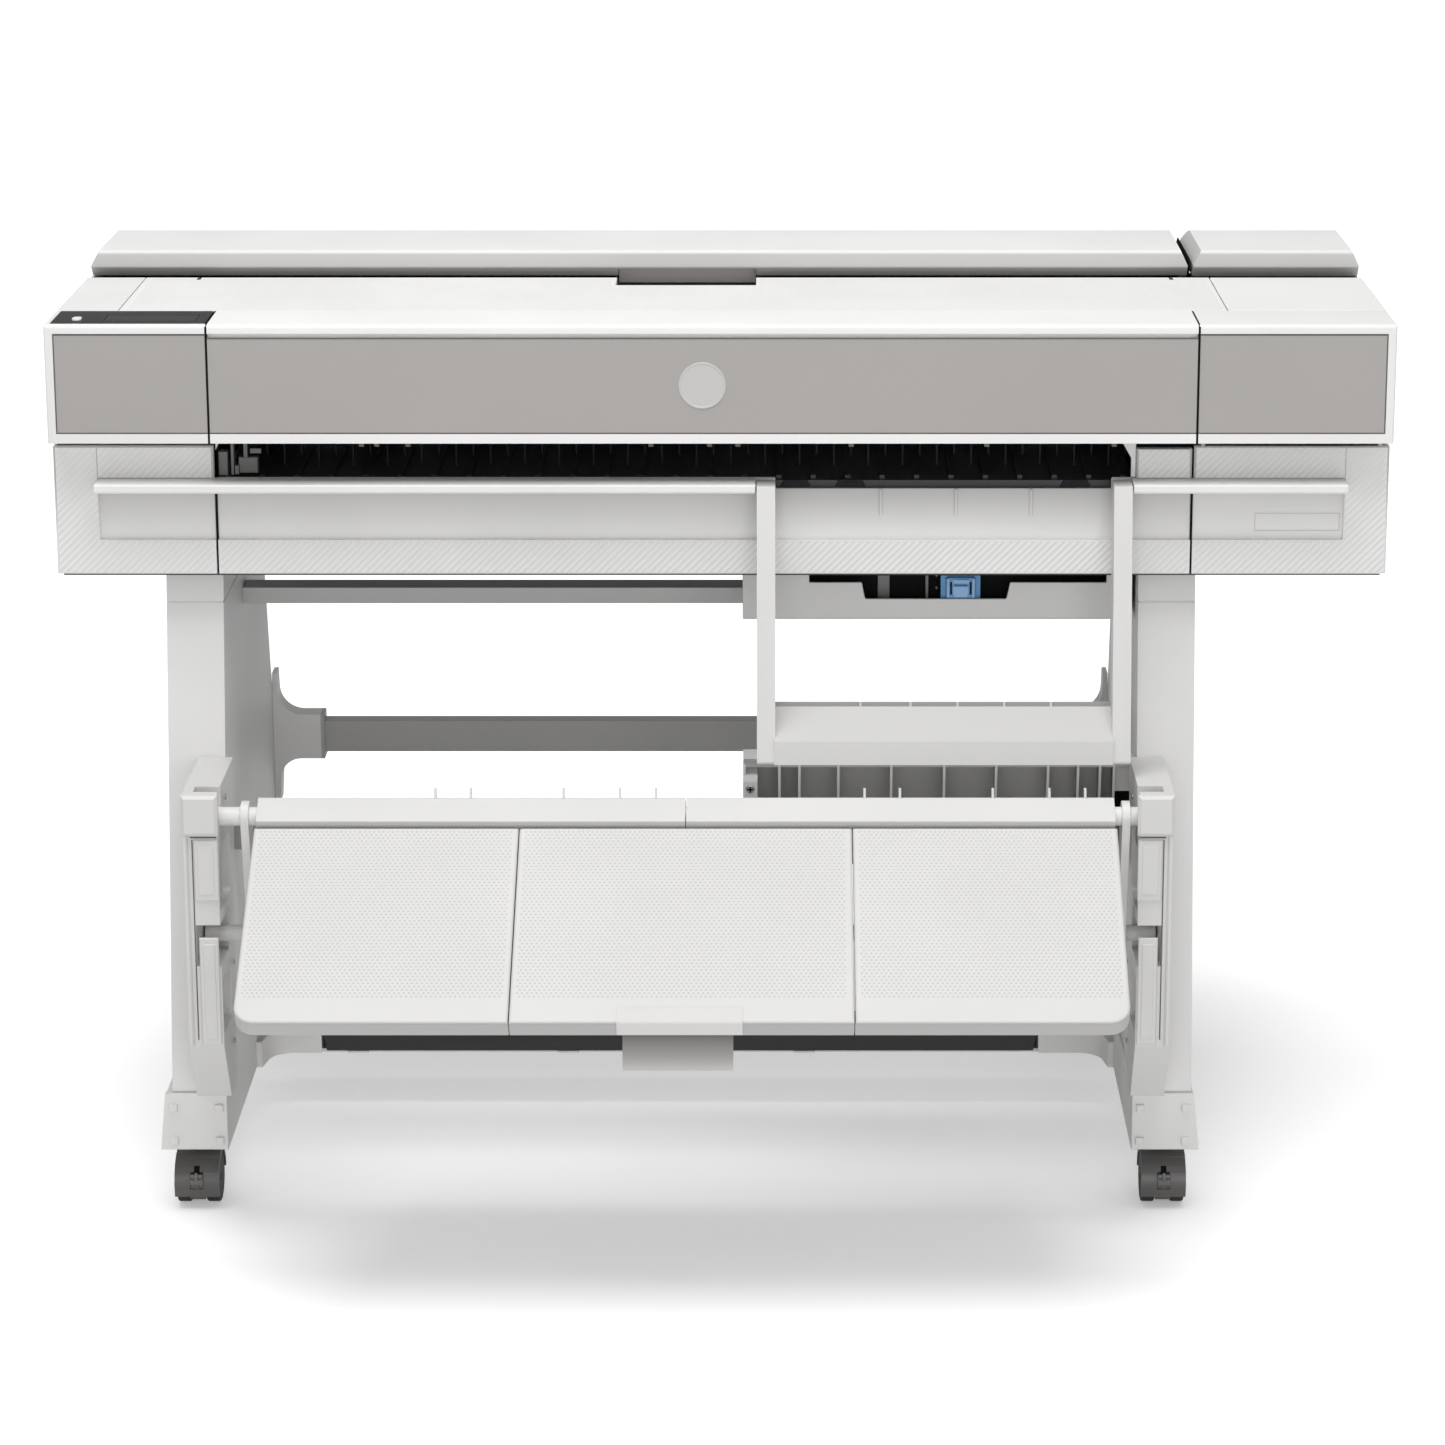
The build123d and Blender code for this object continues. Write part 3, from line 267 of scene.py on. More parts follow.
def brushed(name, colour, rough, axis):
    """Metal ground along one axis: fine streaks in gloss and height."""
    mat = surface(name, colour, rough, metal=1.0, mottle=0.04)
    tree = mat.node_tree
    coords = tree.nodes.new("ShaderNodeTexCoord")
    mapping = tree.nodes.new("ShaderNodeMapping")
    stretch = [900.0, 900.0, 900.0]
    stretch[axis] = 12.0
    mapping.inputs["Scale"].default_value = stretch
    streaks = tree.nodes.new("ShaderNodeTexNoise")
    streaks.inputs["Scale"].default_value = 1.0
    bump = tree.nodes.new("ShaderNodeBump")
    bump.inputs["Strength"].default_value = 0.25
    bump.inputs["Distance"].default_value = 0.05 * MM
    tree.links.new(coords.outputs["Object"], mapping.inputs["Vector"])
    tree.links.new(mapping.outputs["Vector"], streaks.inputs["Vector"])
    tree.links.new(streaks.outputs["Fac"], bump.inputs["Height"])
    tree.links.new(bump.outputs["Normal"], tree.nodes["Principled BSDF"].inputs["Normal"])
    return mat


MATERIALS = {
    "cover_white": surface("cover_white", (0.80, 0.795, 0.785), 0.46, 0.05, 0.9, gleam=0.3),
    "deck_white": surface("deck_white", (0.83, 0.825, 0.815), 0.48, 0.06, 0.9, gleam=0.3),
    "taupe_panel": surface("taupe_panel", (0.385, 0.368, 0.352), 0.55, 0.05, 0.7, mottle=0.015),
    "panel_black": surface("panel_black", (0.011, 0.011, 0.012), 0.3, 0.0, gleam=0.06),
    "screen_black": surface("screen_black", (0.002, 0.002, 0.003), 0.12, 0.0, gleam=0.04),
    "button_white": surface("button_white", (0.82, 0.82, 0.83), 0.35),
    "inner_black": surface("inner_black", (0.012, 0.012, 0.013), 0.42, 0.08, 1.0, pale_edges=1.5),
    "chassis_steel": surface("chassis_steel", (0.055, 0.055, 0.058), 0.5, 0.04, 1.2, metal=0.4),
    "bright_steel": brushed("bright_steel", (0.55, 0.55, 0.56), 0.3, 0),
    "roller_rubber": surface("roller_rubber", (0.02, 0.02, 0.021), 0.75, 0.12, 0.8),
    "stand_grey": surface("stand_grey", (0.73, 0.725, 0.715), 0.48, 0.09, 1.1),
    "rail_grey": surface("rail_grey", (0.34, 0.33, 0.32), 0.42, 0.09, 1.1),
    "stand_plastic": surface("stand_plastic", (0.66, 0.655, 0.645), 0.45, 0.06, 0.9),
    "latch_blue": surface("latch_blue", (0.10, 0.30, 0.56), 0.36, 0.04, 0.7),
    "caster_black": surface("caster_black", (0.085, 0.082, 0.08), 0.34, 0.1, 0.9, pale_edges=0.6),
    "wheel_black": surface("wheel_black", (0.03, 0.03, 0.031), 0.6, 0.1, 0.8),
    "flap_grey": surface("flap_grey", (0.60, 0.595, 0.59), 0.4, 0.05, 0.8),
    "cartridge_grey": surface("cartridge_grey", (0.07, 0.07, 0.075), 0.45, 0.06, 0.8),
    "board_green": surface("board_green", (0.02, 0.10, 0.05), 0.35, 0.03, 0.5),
}

FINISHES = {
    "badge": surface("badge_finish", (0.54, 0.53, 0.52), 0.3, 0.02, 0.5),
    # Black painted shadow in seams, gaps, notches and slots.
    "seam": surface("seam_black_painted_shadow", (0.006, 0.006, 0.006), 0.8, 0.05, 0.8, gleam=0.1),
    # Painted shadow in narrow gaps round inserts and raised panels.
    "groove": surface("groove_painted_shadow", (0.11, 0.105, 0.10), 0.6, 0.05, 0.8),
    # Painted shade: faces turned forwards and down, such as the front edge, darker.
    "tray": surface("tray_white_painted_shade", (0.67, 0.665, 0.655), 0.5, 0.05, 0.9,
                    shade=("normal", 0.5, -0.3, (0.47, 0.465, 0.46))),
    # Painted shade: the tray's dots darker than the tray round them.
    "tray_dot_painted_shade": surface("tray_dot_painted_shade", (0.52, 0.515, 0.505), 0.5, 0.05, 0.9),
    # Painted shade: the deck's dots darker than the deck round them.
    "deck_dot_painted_shade": surface("deck_dot_painted_shade", (0.66, 0.655, 0.645), 0.5, 0.05, 0.9),
    # Painted shade: the roll covers' front and lower faces darker than their tops.
    "roll": surface("roll_cover_painted_shade", (0.79, 0.785, 0.775), 0.5, 0.05, 0.9, gleam=0.2,
                    shade=("normal", 0.9, 0.3, (0.55, 0.545, 0.535))),
    # Painted shade: forward faces of the lower covers darker towards the top, under the exit ledge.
    "lower": surface("lower_cover_painted_shade", (0.80, 0.795, 0.785), 0.46, 0.05, 0.9, gleam=0.3,
                     shade=("recess", 0.30, 0.74, (0.46, 0.455, 0.445))),
    # Painted shade on the second flank of each diagonal ridge.
    "rib_flank_painted_shade": surface("rib_flank_painted_shade", (0.735, 0.73, 0.72), 0.46, 0.05, 0.9, gleam=0.3),
    # Painted shade: faces that look up, such as the shelf under the body, darker.
    "deflector": surface("deflector_plastic_painted_shade", (0.66, 0.655, 0.645), 0.45, 0.06, 0.9,
                         shade=("normal", 0.3, 0.75, (0.55, 0.545, 0.535))),
    # Painted shade: the inside of the lid's finger recess darker than the white round it.
    "pocket": surface("pocket_painted_shade", (0.60, 0.575, 0.565), 0.6, 0.05, 0.8, gleam=0.2),
    # Two-tone: the lower beam's brackets at both ends are a lighter grey.
    "beam": surface("beam_grey", (0.40, 0.395, 0.39), 0.45, 0.05, 0.9, metal=0.1,
                    shade=("ends", 0.4425, 0.4435, (0.70, 0.695, 0.685))),
    "rail": surface("rail_light", (0.46, 0.455, 0.45), 0.45, 0.05, 0.9, metal=0.1),
    # Painted shadow: the flap nearly black at the top, under the tray's edge, paler towards the
    # bottom.
    "flap": surface("flap_painted_shadow", (0.15, 0.145, 0.142), 0.4, 0.04, 0.8, gleam=0.2,
                    shade=("height", 0.9, 0.0, (0.55, 0.54, 0.53))),
    # Painted shade: the back guide's panel darker than its ribs; the deflector's flange takes this
    # grey too.
    "guide": surface("guide_grey_painted_shade", (0.33, 0.326, 0.32), 0.5, 0.08, 0.9),
    "guide_rib": surface("guide_rib", (0.60, 0.595, 0.585), 0.5, 0.05, 0.9),
    "mechanism": surface("mechanism_grey", (0.11, 0.107, 0.104), 0.4, 0.08, 0.8, pale_edges=0.6),
    "clear": surface("clear_lip", (0.70, 0.675, 0.675), 0.2, 0.02, 0.6, coat=0.5),
    "comb": surface("comb_black", (0.014, 0.015, 0.016), 0.55, 0.05, 0.8, gleam=0.15),
    # Painted highlight: the latch's raised ribs lighter blue than its body.
    "latch_painted_highlight": surface("latch_painted_highlight", (0.26, 0.46, 0.74), 0.32, 0.03, 0.6),
    "screw": surface("screw_steel", (0.35, 0.35, 0.36), 0.3, 0.05, 0.5, metal=0.9),
}


# ---------------------------------------------------------------- mesh tools


def add_piece(name, verts, faces, body, slot, smooth=False):
    """A new mesh piece in place, in the row frame, riding on a CAD body."""
    mesh = bpy.data.meshes.new(name)
    mesh.from_pydata([tuple(v) for v in verts], [], faces)
    mesh.validate()
    mesh.materials.append(MATERIALS[slot])
    if smooth:
        mesh.shade_smooth()
    piece = bpy.data.objects.new(name, mesh)
    bpy.context.scene.collection.objects.link(piece)
    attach(piece, body)
    return piece


def spot(x, y, z):
    """A point in the row frame from millimetres right, back from the fascia, and up."""
    return Vector((x * MM, FASCIA + y * MM, z * MM))


class Build:
    """Collects vertices and faces for one piece."""

    def __init__(self):
        self.verts, self.faces = [], []

    def add(self, verts, faces):
        start = len(self.verts)
        self.verts += [Vector(v) for v in verts]
        self.faces += [tuple(start + i for i in face) for face in faces]

    def box(self, lo, hi, bevel=0.0):
        """A box, with chamfered edges if bevel is given."""
        self.prism([(lo[0], lo[2]), (hi[0], lo[2]), (hi[0], hi[2]), (lo[0], hi[2])],
                   lo[1], hi[1], bevel)

    def block(self, x, y, z, bevel=0.3):
        """A box from three (low, high) pairs in millimetres."""
        self.box(spot(x[0], y[0], z[0]), spot(x[1], y[1], z[1]), bevel * MM)

    def front(self, outline, y, bevel=0.3):
        """An (X, Z) outline in millimetres between two depths."""
        points = [tuple(spot(x, 0, z))[::2] for x, z in outline]
        self.prism(points, FASCIA + y[0] * MM, FASCIA + y[1] * MM, bevel * MM)

    def side(self, outline, x):
        """A (Y, Z) outline in millimetres, anticlockwise seen from the right, along X."""
        n = len(outline)
        verts = [spot(value, y, z) for value in x for y, z in outline]
        faces = [tuple(reversed(range(n))), tuple(range(n, 2 * n))]
        faces += [(i, (i + 1) % n, n + (i + 1) % n, n + i) for i in range(n)]
        self.add(verts, faces)

    def prism(self, outline, y0, y1, bevel=0.0):
        """An (X, Z) outline, anticlockwise seen from the front, between two depths."""
        rings = [(y0, 0), (y1, 0)]
        if bevel:
            rings = [(y0, bevel), (y0 + bevel, 0), (y1 - bevel, 0), (y1, bevel)]
        n = len(outline)
        verts = []
        for y, inset in rings:
            verts += [(x, y, z) for x, z in shrunk(outline, inset)]
        faces = [tuple(range(n)), tuple(reversed(range(len(verts) - n, len(verts))))]
        for k in range(len(rings) - 1):
            for i in range(n):
                j = (i + 1) % n
                faces.append((k * n + i, (k + 1) * n + i, (k + 1) * n + j, k * n + j))
        self.add(verts, faces)

    def loft(self, near, far):
        """Closes two matching outlines into one solid."""
        n = len(near)
        faces = [tuple(range(n)), tuple(reversed(range(n, 2 * n)))]
        faces += [(i, n + i, n + (i + 1) % n, (i + 1) % n) for i in range(n)]
        self.add([*near, *far], faces)

    def lathe(self, centre, axis, profile, sides):
        """A turned solid from (distance along the axis, radius) pairs in millimetres."""
        axis = Vector(axis).normalized()
        across = axis.orthogonal().normalized()
        other = axis.cross(across)
        verts, faces = [], []
        for along, radius in profile:
            for i in range(sides):
                a = 2 * math.pi * i / sides
                spoke = across * math.cos(a) + other * math.sin(a)
                verts.append(Vector(centre) + axis * (along * MM) + spoke * (radius * MM))
        for k in range(len(profile) - 1):
            a, b = k * sides, (k + 1) * sides
            for i in range(sides):
                j = (i + 1) % sides
                faces.append((a + i, a + j, b + j, b + i))
        faces.append(tuple(reversed(range(sides))))
        faces.append(tuple(range(len(verts) - sides, len(verts))))
        self.add(verts, faces)

    def piece(self, name, body, slot, finish=None, smooth=False):
        """Turns what was collected into a piece, with its slot's material or a finish."""
        piece = add_piece(name, self.verts, self.faces, body, slot, smooth)
        if finish:
            piece.data.materials[0] = FINISHES[finish]
        return piece


def shrunk(outline, inset):
    """The outline moved inwards by inset along both edges at each corner."""
    if not inset:
        return outline
    found = []
    n = len(outline)
    for i in range(n):
        p, q, r = (Vector(outline[(i + k) % n]) for k in (-1, 0, 1))
        a, b = (q - p).normalized(), (r - q).normalized()
        normal_a, normal_b = Vector((-a.y, a.x)), Vector((-b.y, b.x))
        mitre = (normal_a + normal_b) / (1 + normal_a.dot(normal_b))
        found.append(tuple(q + mitre * inset))
    return found


MERGE_DISTANCE = 1e-5                # metres between points that are one
FLAT_ANGLE = math.radians(0.6)       # faces closer than this become one
EDGE_ANGLE = math.radians(28)        # edges sharper than this are rounded
EDGE_SEGMENTS = 2


def softened(node, width):
    """A copy of a CAD node with its sharp edges rounded, standing for the node."""
    source = frame["nodes"][node]
    mesh = source.data.copy()
    mesh.name = node + "_soft"
    work = bmesh.new()
    work.from_mesh(mesh)
    bmesh.ops.remove_doubles(work, verts=work.verts, dist=MERGE_DISTANCE)
    bmesh.ops.dissolve_limit(work, angle_limit=FLAT_ANGLE, verts=work.verts, edges=work.edges)
    for edge in work.edges:
        edge.smooth = True
    for face in work.faces:
        face.smooth = True
    work.to_mesh(mesh)
    work.free()
    if mesh.attributes.get("custom_normal"):
        mesh.attributes.remove(mesh.attributes["custom_normal"])
    piece = bpy.data.objects.new(node + "_shell", mesh)
    bpy.context.scene.collection.objects.link(piece)
    mesh.materials.clear()
    mesh.materials.append(MATERIALS[SLOT_OF[node]])
    bevel = piece.modifiers.new("edges", "BEVEL")
    bevel.width = width * MM
    bevel.segments = EDGE_SEGMENTS
    bevel.limit_method = "ANGLE"
    bevel.angle_limit = EDGE_ANGLE
    bevel.harden_normals = True
    bevel.use_clamp_overlap = True
    bake_modifiers(piece)
    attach(piece, BODY_OF[node])
    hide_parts(node)
    return piece


def bake_modifiers(piece):
    """Applies the piece's modifiers, so that its own mesh is the final one."""
    bpy.context.view_layer.update()
    graph = bpy.context.evaluated_depsgraph_get()
    final = bpy.data.meshes.new_from_object(piece.evaluated_get(graph))
    piece.modifiers.clear()
    old = piece.data
    piece.data = final
    bpy.data.meshes.remove(old)


def clipped(polygon, x0, x1, z0, z1):
    """A convex (X, Z) polygon cut to a rectangle."""
    for axis, limit, sign in ((0, x0, 1), (0, x1, -1), (1, z0, 1), (1, z1, -1)):
        kept = []
        for i, p in enumerate(polygon):
            q = polygon[(i + 1) % len(polygon)]
            dp, dq = sign * (p[axis] - limit), sign * (q[axis] - limit)
            if dp >= 0:
                kept.append(p)
            if (dp > 0) != (dq > 0) and abs(dp - dq) > 1e-12:
                t = dp / (dp - dq)
                kept.append((p[0] + t * (q[0] - p[0]), p[1] + t * (q[1] - p[1])))
        polygon = kept
        if len(polygon) < 3:
            return []
    return polygon


# ---------------------------------------------------------------- the CAD nodes' own finish


def finish_cad_nodes():
    """Gives every CAD node the material of its own slot."""
    for name, node in frame["nodes"].items():
        node.data.materials.clear()
        node.data.materials.append(MATERIALS[SLOT_OF[name]])


SOFT_EDGES = {                       # millimetres
    "left_end_cover": 1.0, "right_end_cover": 1.0, "top_lid": 1.0, "ink_door": 1.0,
    "roll_cover": 0.8, "roll_end_cover": 0.8, "rear_cover": 0.6,
    "left_lower_cover": 0.8, "centre_lower_cover": 0.8, "right_lower_cover": 0.8,
    "exit_ledge": 0.7, "deflector_frame": 1.2, "underside_housing": 1.0,
    "left_leg": 1.2, "right_leg": 1.2, "left_foot": 1.0, "right_foot": 1.0,
    "left_console": 1.2, "right_console": 1.2, "upper_rail": 0.8, "lower_beam": 1.0,
    "cross_brace": 0.8, "lower_trough": 0.6, "tray_panels": 1.2, "tray_rods": 0.6,
    "tray_rear_covers": 0.5, "back_guide": 0.6, "platen": 0.5,
    "front_left_caster": 0.6, "front_right_caster": 0.6, "rear_left_caster": 0.6,
    "rear_right_caster": 0.6, "carriage": 0.8, "service_station": 0.6, "blue_latch": 0.6,
    "control_panel": 0.5, "display_screen": 0.3,
}
OWN_FINISH = {
    "tray_panels": "tray", "tray_rear_covers": "tray", "back_guide": "guide",
    "roll_cover": "roll", "roll_end_cover": "roll", "lower_beam": "beam", "upper_rail": "rail",
    "left_lower_cover": "lower", "centre_lower_cover": "lower", "right_lower_cover": "lower",
    "deflector_frame": "deflector", "underside_housing": "deflector",
}


# ---------------------------------------------------------------- printer body details


RIB_PITCH = 7.4 * MM                 # along X
RIB_HEIGHT = 0.45 * MM
RIB_SINK = 0.3 * MM                  # how far a ridge reaches into the cover
RIB_MARGIN = 1.5 * MM
RIB_FACE = FASCIA + 30 * MM
RIB_TOP = DECK - 128 * MM
RECESS_RISE = 38 * MM                # from the housing's top to the long recess


def add_lower_ribs():
    """Diagonal ridges over the lower covers, all but the long recess."""
    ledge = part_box("exit_ledge")
    recess_low = high("underside_housing").z + RECESS_RISE
    for node in ("left_lower_cover", "centre_lower_cover", "right_lower_cover"):
        lo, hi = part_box(node)
        x0, x1 = lo.x + 2.2 * MM, hi.x - 2.2 * MM
        inner0, inner1 = max(x0, ledge[0].x), min(x1, ledge[1].x)
        over_ledge = ledge[1].z + 1 * MM
        areas = [(x0, x1, lo.z + RIB_MARGIN, recess_low - RIB_MARGIN)]
        if node == "centre_lower_cover":
            areas.append((0.410, x1, over_ledge, RIB_TOP - 2 * MM))
        else:
            areas.append((inner0, inner1, over_ledge, RIB_TOP))
            outer = (x0, inner0 - 1 * MM) if node.startswith("left") else (inner1 + 1 * MM, x1)
            areas.append((*outer, recess_low - RIB_MARGIN, RIB_TOP))
        # The second flank of every ridge takes a darker, painted shade.
        for name, side, finish in (("ribs", -1, None), ("ribs_lower", 1, "rib_flank_painted_shade")):
            build = Build()
            for area in areas:
                add_ridges(build, area, side)
            build.piece(f"{node}_{name}", BODY_OF[node], "cover_white", finish)


def add_ridges(build, area, side):
    """One flank of the roof-shaped ridges that run up at 45 degrees within a rectangle."""
    x0, x1, z0, z1 = area
    half = RIB_PITCH / 2
    first, last = math.floor((x0 - z1) / RIB_PITCH), math.ceil((x1 - z0) / RIB_PITCH)
    for k in range(first, last + 1):
        centre = k * RIB_PITCH
        a, b = sorted((centre, centre + side * half))
        band = clipped([(a + z0, z0), (b + z0, z0), (b + z1, z1), (a + z1, z1)], x0, x1, z0, z1)
        if len(band) < 3:
            continue
        front = []
        for x, z in band:
            rise = RIB_HEIGHT * (1 - abs(x - z - centre) / half)
            front.append((x, RIB_FACE - max(rise, 0.0) - 0.02 * MM, z))
        build.loft(front, [(x, RIB_FACE + RIB_SINK, z) for x, z in band])


DOT_HEIGHT = 0.35 * MM
DOT_SIDES = 6
ROW_PITCH = 0.866                    # of the pitch, so that the dots stand in triangles


def dome_grid(name, body, slot, finish, origin, axes, size, pitch, skip=None):
    """Small raised dots in staggered rows over a flat rectangle."""
    build = Build()
    right, forward, up = axes
    radius = 0.25 * pitch
    rows = int(size[1] / (pitch * ROW_PITCH))
    angles = [2 * math.pi * i / DOT_SIDES for i in range(DOT_SIDES)]
    ring = [(math.cos(a), math.sin(a)) for a in angles]
    faces = [(i, (i + 1) % DOT_SIDES, DOT_SIDES) for i in range(DOT_SIDES)]
    for row in range(rows + 1):
        v = row * pitch * ROW_PITCH
        indent = (row % 2) * pitch / 2
        for column in range(int((size[0] - indent) / pitch) + 1):
            u = column * pitch + indent
            if skip and skip(u, v):
                continue
            centre = origin + right * u + forward * v
            dot = [centre + right * (c * radius) + forward * (s * radius) for c, s in ring]
            build.add([*dot, centre + up * DOT_HEIGHT], faces)
    build.piece(name, body, slot, finish, smooth=True)


DECK_DOT_PITCH, TRAY_DOT_PITCH = 4.2 * MM, 4.6 * MM


def add_deck_dots():
    """Dot relief on the lid's deck, left out over the finger recess."""
    left, right, front = -0.114, 0.037, FASCIA + 217 * MM
    start = Vector((low("top_lid").x + 16 * MM, FASCIA + 81 * MM, DECK))
    size = (0.497 - start.x - 0.003, 0.185)

    def in_recess(u, v):
        return left < start.x + u < right and start.y + v > front

    axes = (Vector((1, 0, 0)), Vector((0, 1, 0)), Vector((0, 0, 1)))
    # The dots are painted darker, as their shade.
    dome_grid("lid_dots", "lid", "deck_white", "deck_dot_painted_shade", start, axes, size, DECK_DOT_PITCH,
              in_recess)


BADGE_X = -17.8 * MM
BADGE_PROFILE = [(-0.3, 23), (0.5, 23), (0.8, 22.6), (0.8, 21.4), (0.45, 21), (0.45, 0.2)]


def add_badge():
    """Blank round badge on the lid's fascia."""
    face = low("lid_fascia_panel").y
    z = (low("lid_fascia_panel").z + high("lid_fascia_panel").z) / 2 + 0.5 * MM
    build = Build()
    build.lathe((BADGE_X, face, z), (0, -1, 0), BADGE_PROFILE, 64)
    build.piece("round_badge", "lid", "flap_grey", "badge")


def add_name_plate():
    """Blank outlined plate in the right end of the recess."""
    y = FASCIA + 35 * MM
    x0, x1, z0, z1 = 0.526, 0.610, DECK - 213 * MM, DECK - 195 * MM
    w = 0.8 * MM
    build = Build()
    for lo, hi in (((x0, z0), (x1, z0 + w)), ((x0, z1 - w), (x1, z1)),
                   ((x0, z0 + w), (x0 + w, z1 - w)), ((x1 - w, z0 + w), (x1, z1 - w))):
        build.box((lo[0], y - 0.5 * MM, lo[1]), (hi[0], y + 0.2 * MM, hi[1]), 0.15 * MM)
    build.piece("name_plate", "printer", "flap_grey")


SEAMS = (-498, 463.5)                # X of the seams between the lower covers


def add_seams():
    """Dark fins down in the seams between the covers, painted shadow in the gaps."""
    fixed = Build()
    fixed.block((-594.95, -594.1), (79, 256), (893, 905.6), 0)
    fixed.block((498.65, 499.45), (79, 256), (893, 905.6), 0)
    fixed.block((-499.4, -497.7), (-0.12, 3), (789.5, 905), 0)
    fixed.block((-499.2, -497.7), (3, 74), (903, 907.1), 0)
    for x in SEAMS:
        fixed.block((x - 0.95, x + 0.95), (33.5, 37.5), (652, 739), 0)
    fixed.block((-498.95, -497.05), (1.5, 34), (739.5, 747.5), 0)
    fixed.block((462.55, 464.45), (33.5, 37.5), (749, 777), 0)
    fixed.piece("seam_fins", "printer", "panel_black", "seam")
    door = Build()
    door.block((463.2, 465.0), (-0.12, 3), (789.5, 905), 0)
    door.block((463.2, 464.6), (3, 74), (903, 907.1), 0)
    door.piece("door_seam_fin", "ink_door", "panel_black", "seam")


def add_insert_edges():
    """Narrow dark strips round the grey fascia panels, painted shadow in the gaps round them."""
    for node, body in (("left_fascia_panel", "printer"), ("lid_fascia_panel", "lid"),
                       ("ink_door_panel", "ink_door")):
        lo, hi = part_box(node)
        w, y0, y1 = 1.3 * MM, lo.y - 0.18 * MM, lo.y + 0.4 * MM
        build = Build()
        build.box((lo.x, y0, hi.z - w), (hi.x, y1, hi.z))
        build.box((lo.x, y0, lo.z), (hi.x, y1, lo.z + 0.8 * w))
        if node != "lid_fascia_panel":
            outer = (lo.x, lo.x + w) if body == "printer" else (hi.x - w, hi.x)
            build.box((outer[0], y0, lo.z + w), (outer[1], y1, hi.z - w))
        build.piece(node + "_edge", body, "taupe_panel", "groove")


def add_roll_gap():
    """Behind the deck: a pale strip on the lid, and black filling under the roll cover as painted
    shadow in the gap.
    """
    strip = Build()
    for x in ((-532, -113), (36, 457)):
        strip.block(x, (266.1, 270.5), (899.5, 905.2), 0.4)
    strip.piece("lid_rear_strip", "lid", "deck_white")
    black = Build()
    for x in ((-646, -113), (36, 470)):
        black.block(x, (296, 300), (894, 906), 0)
    black.block((486, 640), (296, 300), (894, 904), 0)
    black.piece("gap_filling", "printer", "inner_black", "seam")
    # Floor and back of the finger recess, painted darker as their shade.
    pocket = Build()
    pocket.block((-109.5, 32.5), (221.4, 270.6), (894.1, 894.9), 0.2)
    pocket.piece("lid_recess_floor", "lid", "deck_white", "pocket")
    lining = Build()
    lining.block((-109.4, 32.4), (299.2, 299.9), (896, 913.2), 0.2)
    lining.piece("grip_lining", "roll_cover", "cover_white", "pocket")
    # Black painted shadow in the two notches at the deck's rear edge.
    notch = Build()
    for x in (-541, 457):
        notch.block((x, x + 4), (252, 266.05), (904.5, 907.12), 0)
    notch.piece("lid_notches", "lid", "inner_black", "seam")


def add_slot_interior():
    """Upper sheet guide with its comb, hanging tabs and the brackets at both ends."""
    bar = Build()
    bar.block((-500, 410), (60, 80), (783, 788))
    for x in (-500, 407):
        bar.block((x, x + 3), (60, 80), (738, 783))
    bar.piece("slot_beam", "printer", "inner_black", "comb")
    comb = Build()
    for n in range(53):
        x = -484 + 17 * n
        drop = 754 if n % 2 else 765
        comb.side([(62, 783), (66, drop), (71, drop - 2), (78, 783)][::-1], (x - 0.8, x + 0.8))
    comb.piece("slot_comb", "printer", "inner_black", "comb")
    tabs = Build()
    for x in (-356, -341, -310, -70, -12, 16, 128, 262, 388):
        tabs.block((x - 2.6, x + 2.6), (57, 60), (774, 786))
    tabs.piece("slot_tabs", "printer", "chassis_steel", "mechanism")
    ends = Build()
    ends.block((-496, -487), (44, 58), (748, 772), 0.6)
    ends.block((-484, -481), (46, 58), (748, 781), 0.4)
    ends.block((-477, -458), (50, 60), (749, 765), 0.8)
    ends.block((-472, -468), (50, 56), (765, 780), 0.4)
    ends.block((-466, -455), (54, 58), (768, 773), 0.4)
    ends.block((-480, -476), (44, 50), (749, 758), 0.4)
    ends.piece("slot_left_mechanism", "printer", "chassis_steel", "mechanism")
    corner = Build()
    corner.front([(391, 789), (403, 768), (403, 749), (407.5, 749), (407.5, 789)], (33, 37), 0.4)
    corner.front([(-491, 789), (-497, 789), (-497, 776)], (33, 37), 0.2)
    corner.piece("slot_corners", "printer", "cover_white")
    feet = Build()
    for x in (58, 112, 334):
        feet.front([(x, 738), (x + 30, 738), (x + 26, 745), (x + 4, 745)], (38.6, 42), 0.4)
        feet.block((x + 9, x + 21), (37.8, 38.6), (740, 743), 0.2)
    feet.piece("slot_feet", "printer", "inner_black", "comb")


RIVET = [(0, 1.9), (0.8, 1.6), (1.4, 0.5)]


